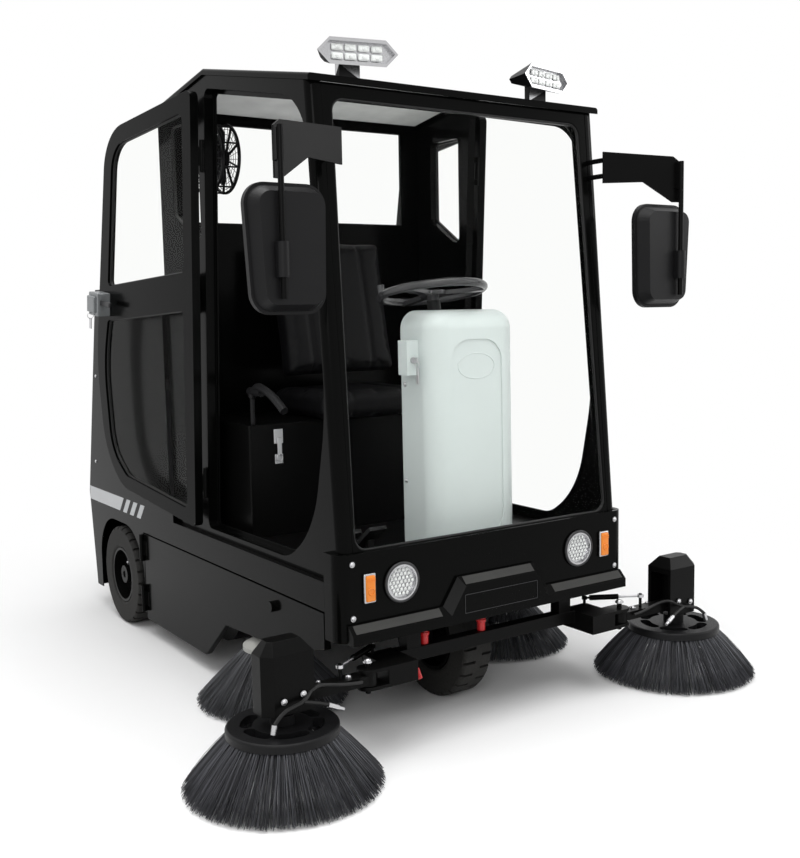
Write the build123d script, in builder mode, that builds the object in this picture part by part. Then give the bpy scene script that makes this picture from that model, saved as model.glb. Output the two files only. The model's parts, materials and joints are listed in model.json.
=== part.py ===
"""Ride-on sweeper with a glazed cab: three wheels, four side brushes and a main roller.

Millimetres, +Z up, the machine drives towards -Y and its right-hand side is -X.
The origin is on the floor, midway between the front brush tips and the tail.
"""
import os
from math import atan2, cos, hypot, radians, sin

from build123d import *

os.makedirs("parts", exist_ok=True)

# Fits
fit = 0.05  # radial running fit of a pin or shaft in its bore
seat_gap = 0.3  # gap between a piece and the seat it is set into
swing_gap = 6  # free space round a moving panel

# Wheels
tyre_r = 200
tyre_w = 110
rim_r = 112
rim_wall = 10
groove_depth = 12
groove_width = 10
groove_reach = 44  # how far a tread groove runs in from the shoulder
groove_count = 26
wheelbase = 1450
axle_r = 15
axle_tube_r = 32

# Front side brushes
brush_ahead = 318  # brush centre ahead of the front wheel axis
brush_tip_r = 275
brush_disc_r = 154
brush_disc_z = 150
brush_disc_t = 24
brush_slots = 6
slot_r = 0.63 * brush_disc_r
slot_sweep = 36
slot_w = 34
bristle_clear = 4  # bristle tips above the floor
shaft_r = 12

# Rear side brushes
side_brush_y = 280
side_brush_tip_r = 250
side_hub_r = 92
side_hub_z = 175

# Body
tail_y = wheelbase + 410  # tail edge behind the front wheel axis
tail_z = 500  # height of the tail edge
tail_foot_y = tail_y - 53
tail_foot_z = 88
deck_z = 1374  # top of the rear housing
deck_end_y = tail_y - 204
body_half = 560
rear_wheel_x = body_half - 40
brush_x = body_half + 206
side_brush_x = body_half - 70
sheet = 4
sill_low = 414
floor_z = 495
floor_t = 6
body_front_y = -200
arch_front_y = wheelbase - 210
arch_rear_y = wheelbase + 290
panel_rear_y = arch_front_y - 26  # rear edge of the hinged side panel
panel_low = 66
arch_top = 416
arch_r = 185

# Cab
cab_half = body_half - 20
cab_wall = 40
cab_rear_y = 905
screen_foot_y = -271.6  # windscreen plane at the floor
screen_top_y = -151
apex_y = 530
apex_z = 2060
screen_top_z = apex_z - 139
roof_rear_drop = 0.14
roof_t = 20
roof_over = 14
glass_t = 6
pillar_round = 28

# Doors
door_t = 30
door_open = 175
hinge_foot_y = 629  # door pin at the floor
hinge_lean = 0.065
stile_free = 62
stile_hinge = 58
rail_top = 62
rail_low = 52
rail_mid = 130
hinge_pin_r = 5
hinge_r = 9
hinge_len = 60

# Fascia
fascia_y = -280
fascia_low = 334
fascia_top = 588
band_t = 34
band_ledge = 26  # sloping top of the band
lamp_x = body_half - 212
lamp_z = 485
lamp_r = 58

axle_y = (brush_ahead + brush_tip_r - tail_y) / 2


def at_y(behind):
    """Place a distance behind the front wheel axis in the part's frame."""
    return axle_y + behind


def save(piece, name):
    """Label a finished piece and write it to its own file."""
    piece.label = name
    export_step(piece, f"parts/{name}.step")


def save_pair(piece, name):
    """Write a right-hand piece and its mirror image on the left."""
    with BuildPart() as twin:
        mirror(piece, about=Plane.YZ)
    save(piece, f"{name}_right")
    save(twin.part, f"{name}_left")


def side_plane(x):
    """Sketch plane across the machine's side: local X runs aft and local Y runs up."""
    return Plane(origin=(x, axle_y, 0), x_dir=(0, 1, 0), z_dir=(1, 0, 0))


def top_plane(x, behind, z):
    """Level sketch plane centred over a point."""
    return Plane(origin=(x, at_y(behind), z))


screen_slope = (screen_top_y - screen_foot_y) / (screen_top_z - floor_z)
roof_slope = (apex_z - screen_top_z) / (apex_y - screen_top_y)


def screen_y(z):
    """Fore-and-aft place of the windscreen plane at a height."""
    return screen_foot_y + (z - floor_z) * screen_slope


def roof_z(y):
    """Height of the roof's top face at a place behind the front axis."""
    if y < apex_y:
        return apex_z - (apex_y - y) * roof_slope
    return apex_z - (y - apex_y) * roof_rear_drop


# Wheels
def build_tyre(x, behind):
    """Solid tyre with cross grooves cut in from both shoulders."""
    axis = Axis((x, at_y(behind), tyre_r), (1, 0, 0))
    with BuildPart() as tyre:
        with BuildSketch(Plane(origin=(x, at_y(behind), tyre_r), x_dir=(1, 0, 0), z_dir=(0, -1, 0))):
            with Locations((0, (tyre_r + rim_r) / 2)):
                RectangleRounded(tyre_w, tyre_r - rim_r, tyre_w / 8)
        revolve(axis=axis)
        wheel = Plane(origin=(x, at_y(behind), tyre_r), x_dir=(0, 1, 0), z_dir=(1, 0, 0))
        for shoulder, turn in ((-1, 0), (1, 180 / groove_count)):
            with BuildSketch(wheel.offset(shoulder * tyre_w / 2)):
                with PolarLocations(tyre_r, groove_count, start_angle=turn):
                    Rectangle(2 * groove_depth, groove_width)
            extrude(amount=-shoulder * groove_reach, mode=Mode.SUBTRACT)
    return tyre.part


def build_rim(x, behind):
    """Pressed wheel: barrel, disc with hand holes, and a bored hub."""
    axis = Axis((x, at_y(behind), tyre_r), (1, 0, 0))
    barrel_r = rim_r - seat_gap
    disc_t = 14
    hub_r = 36
    hub_w = 0.8 * tyre_w
    with BuildPart() as rim:
        with BuildSketch(Plane(origin=(x, at_y(behind), tyre_r), x_dir=(1, 0, 0), z_dir=(0, -1, 0))):
            with Locations((0, barrel_r - rim_wall / 2)):
                Rectangle(tyre_w - 8, rim_wall)
            with Locations((0, barrel_r / 2)):
                Rectangle(disc_t, barrel_r)
            with Locations((0, hub_r / 2)):
                Rectangle(hub_w, hub_r)
            with Locations((0, (axle_r + fit) / 2)):
                Rectangle(2 * tyre_w, axle_r + fit, mode=Mode.SUBTRACT)
        revolve(axis=axis)
        with BuildSketch(Plane(origin=(x, at_y(behind), tyre_r), x_dir=(0, 1, 0), z_dir=(1, 0, 0))):
            with PolarLocations((hub_r + barrel_r - rim_wall) / 2, 5):
                Circle(13)
        extrude(amount=disc_t, both=True, mode=Mode.SUBTRACT)
    return rim.part


wheels = (
    # name, x, behind
    ("front", 0, 0),
    ("rear_right", -rear_wheel_x, wheelbase),
    ("rear_left", rear_wheel_x, wheelbase),
)
for name, x, behind in wheels:
    save(build_tyre(x, behind), f"{name}_tyre")
    save(build_rim(x, behind), f"{name}_rim")

# Steering fork
fork_leg_x = tyre_w / 2 + 8
fork_leg_t = 12
fork_w = 70
crown_low = 2 * tyre_r + 14
crown_t = 18
stem_r = 25
stem_top = floor_z - 3
with BuildPart() as fork:
    with Locations((0, at_y(0), crown_low + crown_t / 2)):
        Box(2 * (fork_leg_x + fork_leg_t), fork_w, crown_t)
    with BuildSketch(side_plane(fork_leg_x)):
        with BuildLine():
            Polyline(
                (-fork_w / 2, crown_low), (-fork_w / 2, tyre_r), (fork_w / 2, tyre_r),
                (fork_w / 2, crown_low), close=True,
            )
        make_face()
        with Locations((0, tyre_r)):
            Circle(fork_w / 2)
    extrude(amount=fork_leg_t)
    mirror(about=Plane.YZ)
    with Locations((0, at_y(0), (crown_low + crown_t + stem_top) / 2)):
        Cylinder(stem_r, stem_top - crown_low - crown_t)
    with Locations(Location((0, at_y(0), tyre_r), (0, 90, 0))):
        Cylinder(axle_r, 2 * (fork_leg_x + fork_leg_t + 8))
save(fork.part, "steering_fork")

# Rear axle
axle_end = rear_wheel_x + 0.36 * tyre_w
with BuildPart() as axle:
    with Locations(Location((0, at_y(wheelbase), tyre_r), (0, 90, 0))):
        Cylinder(axle_r, 2 * axle_end)
        Cylinder(axle_tube_r, 2 * (rear_wheel_x - 0.4 * tyre_w - 3))
save(axle.part, "rear_axle")

# Chassis frame
rail_x = 300
rail_w = 50
rail_h = 60
rail_front_y = -230
rail_rear_y = wheelbase + 50
beam_y = -250
beam_h = 40
beam_z = 255
head_r = 42
leg_w = 80
leg_t = 12
rail_z = floor_z - rail_h
cross_members = (
    # behind, depth
    (rail_front_y + 25, 50),
    (0, 100),
    (640, 50),
    (rail_rear_y - 25, 50),
)
with BuildPart() as frame:
    with Locations((rail_x, at_y((rail_front_y + rail_rear_y) / 2), rail_z + rail_h / 2)):
        Box(rail_w, rail_rear_y - rail_front_y, rail_h)
    hanger_low = beam_z + beam_h / 2
    with Locations((rail_x, at_y(beam_y), (hanger_low + floor_z) / 2)):
        Box(rail_w, 2 * (rail_front_y - beam_y), floor_z - hanger_low)
    with BuildSketch(side_plane(rail_x - leg_t / 2)):
        with Locations((wheelbase, (tyre_r + rail_z) / 2)):
            Rectangle(leg_w, rail_z - tyre_r)
        with Locations((wheelbase, tyre_r)):
            Circle(leg_w / 2 + 4)
            Circle(axle_tube_r + seat_gap, mode=Mode.SUBTRACT)
    extrude(amount=leg_t)
    mirror(about=Plane.YZ)
    for behind, depth in cross_members:
        with Locations((0, at_y(behind), rail_z + rail_h / 2)):
            Box(2 * rail_x - rail_w, depth, rail_h)
    with Locations((0, at_y(0), rail_z + rail_h / 2)):
        Cylinder(stem_r + fit, 2 * rail_h, mode=Mode.SUBTRACT)
save(frame.part, "chassis_frame")

# Front beam with the clevises that carry the brush arms
pivot_x = body_half - 64
pivot_y = -323
pivot_pin_r = 8
clevis_t = 10
clevis_w = 64
clevis_gap = 40
clevis_z = 242  # mid height of the clevis
beam_half = pivot_x - 151
block_x = 100
strut_foot_x = pivot_x - 73
strut_foot_y = -234
strut_z = 296
strut_pin_r = 5
block_front = pivot_y - clevis_w / 2
block_rear = beam_y + beam_h / 2 + 16
with BuildPart() as beam:
    with Locations((0, at_y(beam_y), beam_z)):
        Box(2 * beam_half + 10, beam_h, beam_h)
    with Locations((beam_half + block_x / 2, at_y((block_front + block_rear) / 2), clevis_z)):
        Box(block_x, block_rear - block_front, clevis_gap + 2 * clevis_t)
    for level in (clevis_z + clevis_gap / 2, clevis_z - clevis_gap / 2 - clevis_t):
        with BuildSketch(top_plane(0, 0, level)):
            with BuildLine():
                inner = beam_half + block_x / 2
                Polyline((inner, pivot_y - clevis_w / 2), (pivot_x, pivot_y - clevis_w / 2),
                         (pivot_x, pivot_y + clevis_w / 2), (inner, pivot_y + clevis_w / 2), close=True)
            make_face()
            with Locations((pivot_x, pivot_y)):
                Circle(clevis_w / 2)
        extrude(amount=clevis_t)
    with Locations((pivot_x, at_y(pivot_y), clevis_z)):
        Cylinder(pivot_pin_r, clevis_gap + 2 * clevis_t + 30)
    block_top = clevis_z + clevis_gap / 2 + clevis_t
    with Locations((strut_foot_x, at_y(strut_foot_y), (block_top + strut_z) / 2 + 5)):
        Cylinder(strut_pin_r, strut_z - block_top + 10)
    mirror(about=Plane.YZ)
save(beam.part, "front_beam")

# Brush arms with motor, shaft and strut stud
arm_w = 48
arm_h = 28
knuckle_r = 27
plate_w = 140
plate_d = 95
plate_t = 12
motor_r = 40
motor_h = 105
stud_x = pivot_x + 94
stud_y = -328
cover_wall = 3
cover_low = 212
cover_eave = 374
cover_rise = 34
cover_chamfer = 26
arm_low = clevis_z - arm_h / 2
with BuildPart() as arm:
    with Locations((-pivot_x, at_y(pivot_y), clevis_z)):
        Cylinder(knuckle_r, clevis_gap - 2)
    with Locations((-(pivot_x + brush_x) / 2, at_y(pivot_y), clevis_z)):
        Box(brush_x - pivot_x, arm_w, arm_h)
    with BuildSketch(top_plane(-brush_x, -brush_ahead, arm_low)) as plan:
        Rectangle(plate_w, plate_d)
        chamfer(plan.vertices().group_by(Axis.X)[0], length=cover_chamfer)
    extrude(amount=plate_t)
    with Locations((-brush_x, at_y(-brush_ahead), arm_low + plate_t + motor_h / 2)):
        Cylinder(motor_r, motor_h)
    hub_low = brush_disc_z + 4
    with Locations((-brush_x, at_y(-brush_ahead), (hub_low + arm_low) / 2)):
        Cylinder(shaft_r, arm_low - hub_low)
    arm_top = clevis_z + arm_h / 2
    with Locations((-stud_x, at_y(stud_y), (arm_top + strut_z) / 2 + 4)):
        Cylinder(strut_pin_r, strut_z - arm_top + 8)
    with Locations((-pivot_x, at_y(pivot_y), clevis_z)):
        Cylinder(pivot_pin_r + fit, 2 * clevis_gap, mode=Mode.SUBTRACT)

# Motor covers, open underneath and towards the machine
cover_w = plate_w + 2 * seat_gap + 2 * cover_wall
cover_d = plate_d + 2 * seat_gap + 2 * cover_wall
with BuildPart() as cover:
    for inset, base in ((0, cover_low), (cover_wall, cover_low - cover_wall)):
        with BuildSketch(top_plane(-brush_x, -brush_ahead, base)) as plan:
            Rectangle(cover_w - 2 * inset, cover_d - 2 * inset)
            chamfer(plan.vertices().group_by(Axis.X)[0], length=cover_chamfer - 0.6 * inset)
        extrude(amount=cover_eave - cover_low, mode=Mode.SUBTRACT if inset else Mode.ADD)
        with BuildSketch(top_plane(-brush_x, -brush_ahead, base + cover_eave - cover_low)) as plan:
            Rectangle(cover_w - 2 * inset, cover_d - 2 * inset)
            chamfer(plan.vertices().group_by(Axis.X)[0], length=cover_chamfer - 0.6 * inset)
        extrude(amount=cover_rise, taper=38, mode=Mode.SUBTRACT if inset else Mode.ADD)
    with Locations((-brush_x + cover_w / 2, at_y(-brush_ahead), cover_low)):
        Box(4 * cover_wall, cover_d - 24, 2 * (cover_eave - cover_low - 18), mode=Mode.SUBTRACT)
with BuildPart() as covered_arm:
    add(arm.part)
    add(cover.part)
save_pair(covered_arm.part, "brush_arm")

# Struts between the beam and the arms: barrel on the beam, rod on the arm
strut_run = hypot(stud_x - strut_foot_x, stud_y - strut_foot_y)
strut_yaw = atan2(stud_y - strut_foot_y, -(stud_x - strut_foot_x))
strut_plane = Plane(
    origin=(-strut_foot_x, at_y(strut_foot_y), strut_z),
    x_dir=(0, 0, 1),
    z_dir=(cos(strut_yaw), sin(strut_yaw), 0),
)
strut_barrel_r = 9
strut_rod_r = 4
eye_r = 9
eye_t = 9
barrel_len = 0.6 * strut_run
with BuildPart() as barrel:
    with Locations((-strut_foot_x, at_y(strut_foot_y), strut_z)):
        Cylinder(eye_r, eye_t)
    with BuildSketch(strut_plane.offset(eye_r / 2)):
        Circle(0.4 * strut_barrel_r)
    extrude(amount=16)
    with BuildSketch(strut_plane.offset(18)):
        Circle(strut_barrel_r)
    extrude(amount=barrel_len - 18)
    with BuildSketch(strut_plane.offset(barrel_len)):
        Circle(strut_rod_r + fit)
    extrude(amount=-(barrel_len - 30), mode=Mode.SUBTRACT)
    with Locations((-strut_foot_x, at_y(strut_foot_y), strut_z)):
        Cylinder(strut_pin_r + fit, 4 * eye_t, mode=Mode.SUBTRACT)
save_pair(barrel.part, "strut_barrel")
eye_slack = 2
with BuildPart() as rod:
    with BuildSketch(strut_plane.offset(0.42 * strut_run)):
        Circle(strut_rod_r)
    extrude(amount=0.58 * strut_run - eye_r / 2 - 2)
    with Locations((-stud_x, at_y(stud_y), strut_z)):
        Cylinder(eye_r + eye_slack, eye_t)
        Cylinder(strut_pin_r + eye_slack, 4 * eye_t, mode=Mode.SUBTRACT)
save_pair(rod.part, "strut_rod")

# Front brushes: slotted disc and flared bristles
disc_hub_r = 34
disc_hub_top = cover_low - 10
with BuildPart() as disc:
    with BuildSketch(top_plane(-brush_x, -brush_ahead, brush_disc_z)):
        Circle(brush_disc_r)
        for turn in range(brush_slots):
            start = 360 / brush_slots * turn
            slot = Edge.make_circle(slot_r, start_angle=start, end_angle=start + slot_sweep)
            SlotArc(slot, slot_w, mode=Mode.SUBTRACT)
    extrude(amount=brush_disc_t)
    fillet(disc.faces().sort_by(Axis.Z)[-1].outer_wire().edges(), radius=brush_disc_t / 3)
    with Locations((-brush_x, at_y(-brush_ahead), (brush_disc_z + disc_hub_top) / 2)):
        Cylinder(disc_hub_r, disc_hub_top - brush_disc_z)
        Cylinder(shaft_r + fit, 4 * (disc_hub_top - brush_disc_z), mode=Mode.SUBTRACT)
save_pair(disc.part, "front_brush_disc")


def build_bristles(x, behind, root_r, root_z, tip_r):
    """Flared ring of bristles from its root circle down to tips cut on a slant."""
    tuft = 36
    axis = Axis((x, at_y(behind), 0), (0, 0, 1))
    with BuildPart() as bristles:
        with BuildSketch(Plane(origin=(x, at_y(behind), 0), x_dir=(1, 0, 0), z_dir=(0, -1, 0))):
            with BuildLine():
                Polyline((root_r, root_z), (tip_r, bristle_clear + 0.7 * tuft), (tip_r - tuft, bristle_clear),
                         (root_r - tuft, root_z), close=True)
            make_face()
        revolve(axis=axis)
    return bristles.part


front_bristles = build_bristles(-brush_x, -brush_ahead, brush_disc_r - 6, brush_disc_z, brush_tip_r)
save_pair(front_bristles, "front_bristles")

# Rear side brushes: domed hub, bristles and the motors that carry them
side_dome = 38
side_motor_z = side_hub_z + side_dome + 12
side_motor_h = 85
hub_plane = Plane(
    origin=(-side_brush_x, at_y(side_brush_y), side_hub_z), x_dir=(1, 0, 0), z_dir=(0, -1, 0)
)
with BuildPart() as hub:
    with BuildSketch(hub_plane):
        with BuildLine():
            Polyline((shaft_r + fit, 0), (side_hub_r, 0), (side_hub_r, 14), (0.55 * side_hub_r, side_dome),
                     (shaft_r + fit, side_dome), close=True)
        make_face()
    revolve(axis=Axis((-side_brush_x, at_y(side_brush_y), 0), (0, 0, 1)))
save_pair(hub.part, "side_brush_hub")
side_bristles = build_bristles(-side_brush_x, side_brush_y, side_hub_r - 4, side_hub_z, side_brush_tip_r)
save_pair(side_bristles, "side_bristles")
side_bracket_t = 10
with BuildPart() as side_motors:
    with Locations((side_brush_x, at_y(side_brush_y), side_motor_z + side_motor_h / 2)):
        Cylinder(motor_r, side_motor_h)
    with Locations((side_brush_x, at_y(side_brush_y), (side_hub_z + 5 + side_motor_z) / 2)):
        Cylinder(shaft_r, side_motor_z - side_hub_z - 5)
    bracket_z = side_motor_z + side_motor_h
    bracket_run = side_brush_x + motor_r - rail_x + rail_w / 2
    bracket_x = rail_x - rail_w / 2 + bracket_run / 2
    with Locations((bracket_x, at_y(side_brush_y), bracket_z + side_bracket_t / 2)):
        Box(bracket_run, 2 * motor_r, side_bracket_t)
    with Locations((rail_x, at_y(side_brush_y), (bracket_z + side_bracket_t + rail_z) / 2)):
        Box(rail_w, side_bracket_t, rail_z - bracket_z - side_bracket_t)
    mirror(about=Plane.YZ)
save(side_motors.part, "side_brush_motors")

# Main roller brush and its hood
roller_y = wheelbase - 490
roller_z = 172
roller_r = roller_z - bristle_clear
roller_half = body_half - 210
hood_gap = 12
hood_wall = 6
hood_r = roller_r + hood_gap
hood_half = roller_half + hood_gap
with BuildPart() as roller:
    with Locations(Location((0, at_y(roller_y), roller_z), (0, 90, 0))):
        Cylinder(roller_r, 2 * roller_half)
        Cylinder(shaft_r, 2 * (hood_half + hood_wall))
save(roller.part, "roller_brush")
hood_low = 110
with BuildPart() as hood:
    with BuildSketch(side_plane(-hood_half - hood_wall)):
        with Locations((roller_y, roller_z)):
            Circle(hood_r + hood_wall)
        with Locations((roller_y, hood_low - 2 * hood_r)):
            Rectangle(4 * hood_r, 4 * hood_r, mode=Mode.SUBTRACT)
    extrude(amount=2 * (hood_half + hood_wall))
    with BuildSketch(side_plane(-hood_half)):
        with Locations((roller_y, roller_z)):
            Circle(hood_r)
    extrude(amount=2 * hood_half, mode=Mode.SUBTRACT)
    with Locations(Location((0, at_y(roller_y), roller_z), (0, 90, 0))):
        Cylinder(shaft_r + fit, 4 * hood_half, mode=Mode.SUBTRACT)
    hood_top = roller_z + hood_r + hood_wall
    with Locations((rail_x, at_y(roller_y), (hood_top - 4 + rail_z) / 2)):
        Box(rail_w, 40, rail_z - hood_top + 4)
    with Locations((-rail_x, at_y(roller_y), (hood_top - 4 + rail_z) / 2)):
        Box(rail_w, 40, rail_z - hood_top + 4)
save(hood.part, "roller_hood")

# Floor
with BuildPart() as floor_pan:
    floor_front = screen_foot_y + cab_wall + swing_gap
    with Locations((0, at_y((floor_front + cab_rear_y) / 2), floor_z + floor_t / 2)):
        Box(2 * (body_half - sheet), cab_rear_y - floor_front, floor_t)
save(floor_pan.part, "floor_pan")
floor_top = floor_z + floor_t

# Body sides: sill band, rear quarter with the wheel arch, and the housing's flank
post_w = arch_front_y - panel_rear_y - swing_gap
post_t = 28
tail_points = ((deck_end_y, deck_z), (tail_y, tail_z), (tail_foot_y, tail_foot_z))
with BuildPart() as body_side:
    with BuildSketch(side_plane(-body_half)):
        with BuildLine():
            Polyline((body_front_y, sill_low), (panel_rear_y + swing_gap, sill_low),
                     (panel_rear_y + swing_gap, tail_foot_z), (tail_foot_y, tail_foot_z), (tail_y, tail_z),
                     (deck_end_y, deck_z), (cab_rear_y, deck_z), (cab_rear_y, floor_top),
                     (body_front_y, floor_top), close=True)
        make_face()
        with BuildLine():
            FilletPolyline(
                (arch_front_y, 0), (arch_front_y, arch_top), (arch_rear_y, arch_top), (arch_rear_y, 0),
                radius=(arch_r, arch_r),
            )
            Line((arch_rear_y, 0), (arch_front_y, 0))
        make_face(mode=Mode.SUBTRACT)
    extrude(amount=sheet)
    post_y = panel_rear_y + swing_gap + post_w / 2
    with Locations((-body_half + sheet + post_t / 2, at_y(post_y), (tail_foot_z + floor_z) / 2)):
        Box(post_t, post_w, floor_z - tail_foot_z)

# Rear shell: deck, slanting tail with the door opening, and the lower tail panel
tail_lean = atan2(tail_y - deck_end_y, deck_z - tail_z)
tail_run = hypot(tail_y - deck_end_y, deck_z - tail_z)
tail_plane = Plane(
    origin=(0, at_y(tail_y), tail_z),
    x_dir=(-1, 0, 0),
    z_dir=(0, cos(tail_lean), sin(tail_lean)),
)
rear_door_half = body_half - 120
rear_door_low = 70
rear_door_high = tail_run - 70
shell_half = body_half - sheet
with BuildPart() as rear_shell:
    with BuildSketch(side_plane(-shell_half)):
        with BuildLine():
            Polyline((cab_rear_y, deck_z), *tail_points, (cab_rear_y, tail_foot_z), close=True)
        make_face()
        offset(amount=-sheet, mode=Mode.SUBTRACT)
        with BuildLine():
            Polyline(
                (cab_rear_y, tail_foot_z - sheet), (cab_rear_y, deck_z - 2 * sheet),
                (deck_end_y - 6 * sheet, deck_z - 2 * sheet),
                (tail_foot_y - 6 * sheet, tail_foot_z - sheet), close=True,
            )
        make_face(mode=Mode.SUBTRACT)
    extrude(amount=2 * shell_half)
    with BuildSketch(tail_plane):
        with BuildLine():
            Polyline((-rear_door_half, rear_door_low), (-rear_door_half, rear_door_high),
                     (rear_door_half, rear_door_high), (rear_door_half, rear_door_low), close=True)
        make_face()
    extrude(amount=40, both=True, mode=Mode.SUBTRACT)

# Rear door, hung on its right-hand edge
rear_door_t = 22
rear_door_rim = 30
rear_door_round = 12
rear_door_w = 2 * rear_door_half
rear_door_h = rear_door_high - rear_door_low
with BuildPart() as rear_door:
    with BuildSketch(tail_plane):
        with Locations((0, (rear_door_low + rear_door_high) / 2)):
            RectangleRounded(rear_door_w - 2 * swing_gap, rear_door_h - 2 * swing_gap, rear_door_round)
    extrude(amount=-rear_door_t)
    with BuildSketch(tail_plane.offset(-rear_door_t)):
        with Locations((0, (rear_door_low + rear_door_high) / 2)):
            rim = 2 * rear_door_rim
            RectangleRounded(rear_door_w - rim, rear_door_h - rim, rear_door_round)
    extrude(amount=rear_door_t - sheet, mode=Mode.SUBTRACT)

# Hinges shared by the cab doors, side panels and rear door
hinge_rise = hinge_r + 1.5  # pin above the skin it is screwed to
ear_len = 22
ear_gap = 0.5
leaf_t = 4
leaf_w = 38
ear_leaf_w = 18


def hinge_pins(spots):
    """Fixed halves of hinges: a pin held by two ears whose leaves lie on the frame."""
    reach = hinge_len / 2 + ear_gap
    for spot in spots:
        with Locations(spot):
            Cylinder(hinge_pin_r, 2 * (reach + ear_len))
            with Locations((0, 0, reach + ear_len / 2), (0, 0, -reach - ear_len / 2)):
                Cylinder(hinge_r, ear_len)
                with Locations((-ear_leaf_w / 2, leaf_t / 2 - hinge_rise, 0)):
                    Box(ear_leaf_w, leaf_t, ear_len)
                with Locations((-hinge_r / 2, -hinge_rise / 2, 0)):
                    Box(hinge_r, hinge_rise, ear_len)


def hinge_barrels(spots):
    """Moving halves of hinges: a bored barrel whose leaf lies on the panel."""
    for spot in spots:
        with Locations(spot):
            Cylinder(hinge_r, hinge_len)
            with Locations((leaf_w / 2, leaf_t / 2 - hinge_rise, 0)):
                Box(leaf_w, leaf_t, hinge_len)
            with Locations((hinge_r / 2, -hinge_rise / 2, 0)):
                Box(hinge_r, hinge_rise, hinge_len)
            Cylinder(hinge_pin_r + fit, 2 * hinge_len, mode=Mode.SUBTRACT)


def hinge_spots(plane, stations):
    """Places of the hinges along the pin axis, which is the plane's Z direction."""
    return [Location(plane) * Location((0, 0, station)) for station in stations]


panel_pin = Plane(
    origin=(-body_half - hinge_rise, at_y(panel_rear_y + swing_gap / 2), 0),
    x_dir=(0, -1, 0),
    z_dir=(0, 0, -1),
)
panel_hinges = hinge_spots(panel_pin, (-353, -150))
rear_pin = Plane(
    origin=tail_plane.from_local_coords((rear_door_half - swing_gap / 2, 0, hinge_rise)),
    x_dir=(1, 0, 0),
    z_dir=tail_plane.y_dir,
)
rear_hinges = hinge_spots(rear_pin, (0.25 * tail_run, 0.75 * tail_run))
door_pin = Plane(
    origin=(-cab_half - hinge_rise, at_y(hinge_foot_y), floor_z),
    x_dir=(0, -1, -hinge_lean),
    z_dir=(0, hinge_lean, -1),
)
door_hinges = hinge_spots(door_pin, (-190, -1290))
with BuildPart() as hung_side:
    add(body_side.part)
    hinge_pins(panel_hinges)
save_pair(hung_side.part, "body_side")
with BuildPart() as hung_shell:
    add(rear_shell.part)
    hinge_pins(rear_hinges)
save(hung_shell.part, "rear_shell")
with BuildPart() as hung_rear_door:
    add(rear_door.part)
    hinge_barrels(rear_hinges)
    with BuildSketch(tail_plane):
        with Locations((-rear_door_half + 60, 0.45 * tail_run)):
            RectangleRounded(30, 150, 8)
    extrude(amount=24)
save(hung_rear_door.part, "rear_door")

# Lower side panels, hinged at the rear, with raised fronts that clear the brushes
panel_front_y = body_front_y + swing_gap
panel_top = sill_low - swing_gap
panel_flange = 22
knob_r = 17
knob_y = 113
knob_z = 362
panel_points = (
    (panel_rear_y, panel_low), (650, panel_low), (476, 214), (40, 240), (panel_front_y, 300),
    (panel_front_y, panel_top), (panel_rear_y, panel_top),
)
with BuildPart() as side_panel:
    for depth, rim_only in ((sheet, False), (panel_flange, True)):
        with BuildSketch(side_plane(-body_half)):
            with BuildLine():
                Polyline(*panel_points, close=True)
            make_face()
            if rim_only:
                offset(amount=-sheet, kind=Kind.INTERSECTION, mode=Mode.SUBTRACT)
        extrude(amount=depth)
    with BuildSketch(side_plane(-body_half)):
        with Locations((knob_y, knob_z)):
            Circle(knob_r)
    extrude(amount=-knob_r)
    hinge_barrels(panel_hinges)
save_pair(side_panel.part, "side_panel")

# Waste bin, open on top
bin_half = body_half - 90
bin_front_y = cab_rear_y + 55
bin_rear_y = tail_y - 200
bin_top = 980
with BuildPart() as waste_bin:
    with Locations((0, at_y((bin_front_y + bin_rear_y) / 2), (floor_z + bin_top) / 2)):
        Box(2 * bin_half, bin_rear_y - bin_front_y, bin_top - floor_z)
    offset(amount=-sheet, openings=waste_bin.faces().sort_by(Axis.Z)[-1])
save(waste_bin.part, "waste_bin")

# Cab shell
pillar = 30  # width of the front pillar beside the windscreen
header = 62  # roof top down to the door opening
opening_low = 525
knee_z = 986  # where the opening's front edge starts to curve aft
shin_y = -114
shin_z = 624
toe_y = 50
lip_t = 5  # door stop round the inside of the opening
lip_w = 14
quarter_front = apex_y + 70
quarter_rear = cab_rear_y - 109
quarter_low = apex_z - 540
quarter_top = apex_z - 150
quarter_points = (
    (quarter_front, quarter_low), (quarter_front + 44, quarter_low), (quarter_rear, quarter_low + 90),
    (quarter_rear, quarter_top), (quarter_front, quarter_top),
)
rear_pane_w = 2 * cab_half - 240
rear_pane_h = 360
rear_pane_z = apex_z - 285


def front_corner(width, drop):
    """Where a line parallel to the windscreen meets a line parallel to the front roof."""
    rest = apex_y - screen_foot_y - width + floor_z * screen_slope
    z = (apex_z - drop - rest * roof_slope) / (1 - screen_slope * roof_slope)
    return screen_y(z) + width, z


def hinge_y(z):
    """Fore-and-aft place of the leaning door pin at a height."""
    return hinge_foot_y - hinge_lean * (z - floor_z)


def rear_corner(inset, drop):
    """Where a line parallel to the door pin meets a line parallel to the front roof."""
    rest = apex_y - hinge_foot_y + inset - hinge_lean * floor_z
    z = (apex_z - drop - rest * roof_slope) / (1 + hinge_lean * roof_slope)
    return hinge_y(z) - inset, z


def doorway(inset):
    """Door opening, or a line inside it by the same amount all round."""
    edge = -swing_gap / 2
    with BuildSketch() as opening:
        with BuildLine():
            FilletPolyline(
                (hinge_y(opening_low) - edge, opening_low), rear_corner(edge, header),
                front_corner(pillar, header), (screen_y(knee_z) + pillar, knee_z), (shin_y, shin_z),
                (toe_y, opening_low), radius=(25, 30, 190, 700, 330, 150), close=True,
            )
        make_face()
        if inset:
            offset(amount=-inset, mode=Mode.REPLACE)
    return opening.sketch


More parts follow.
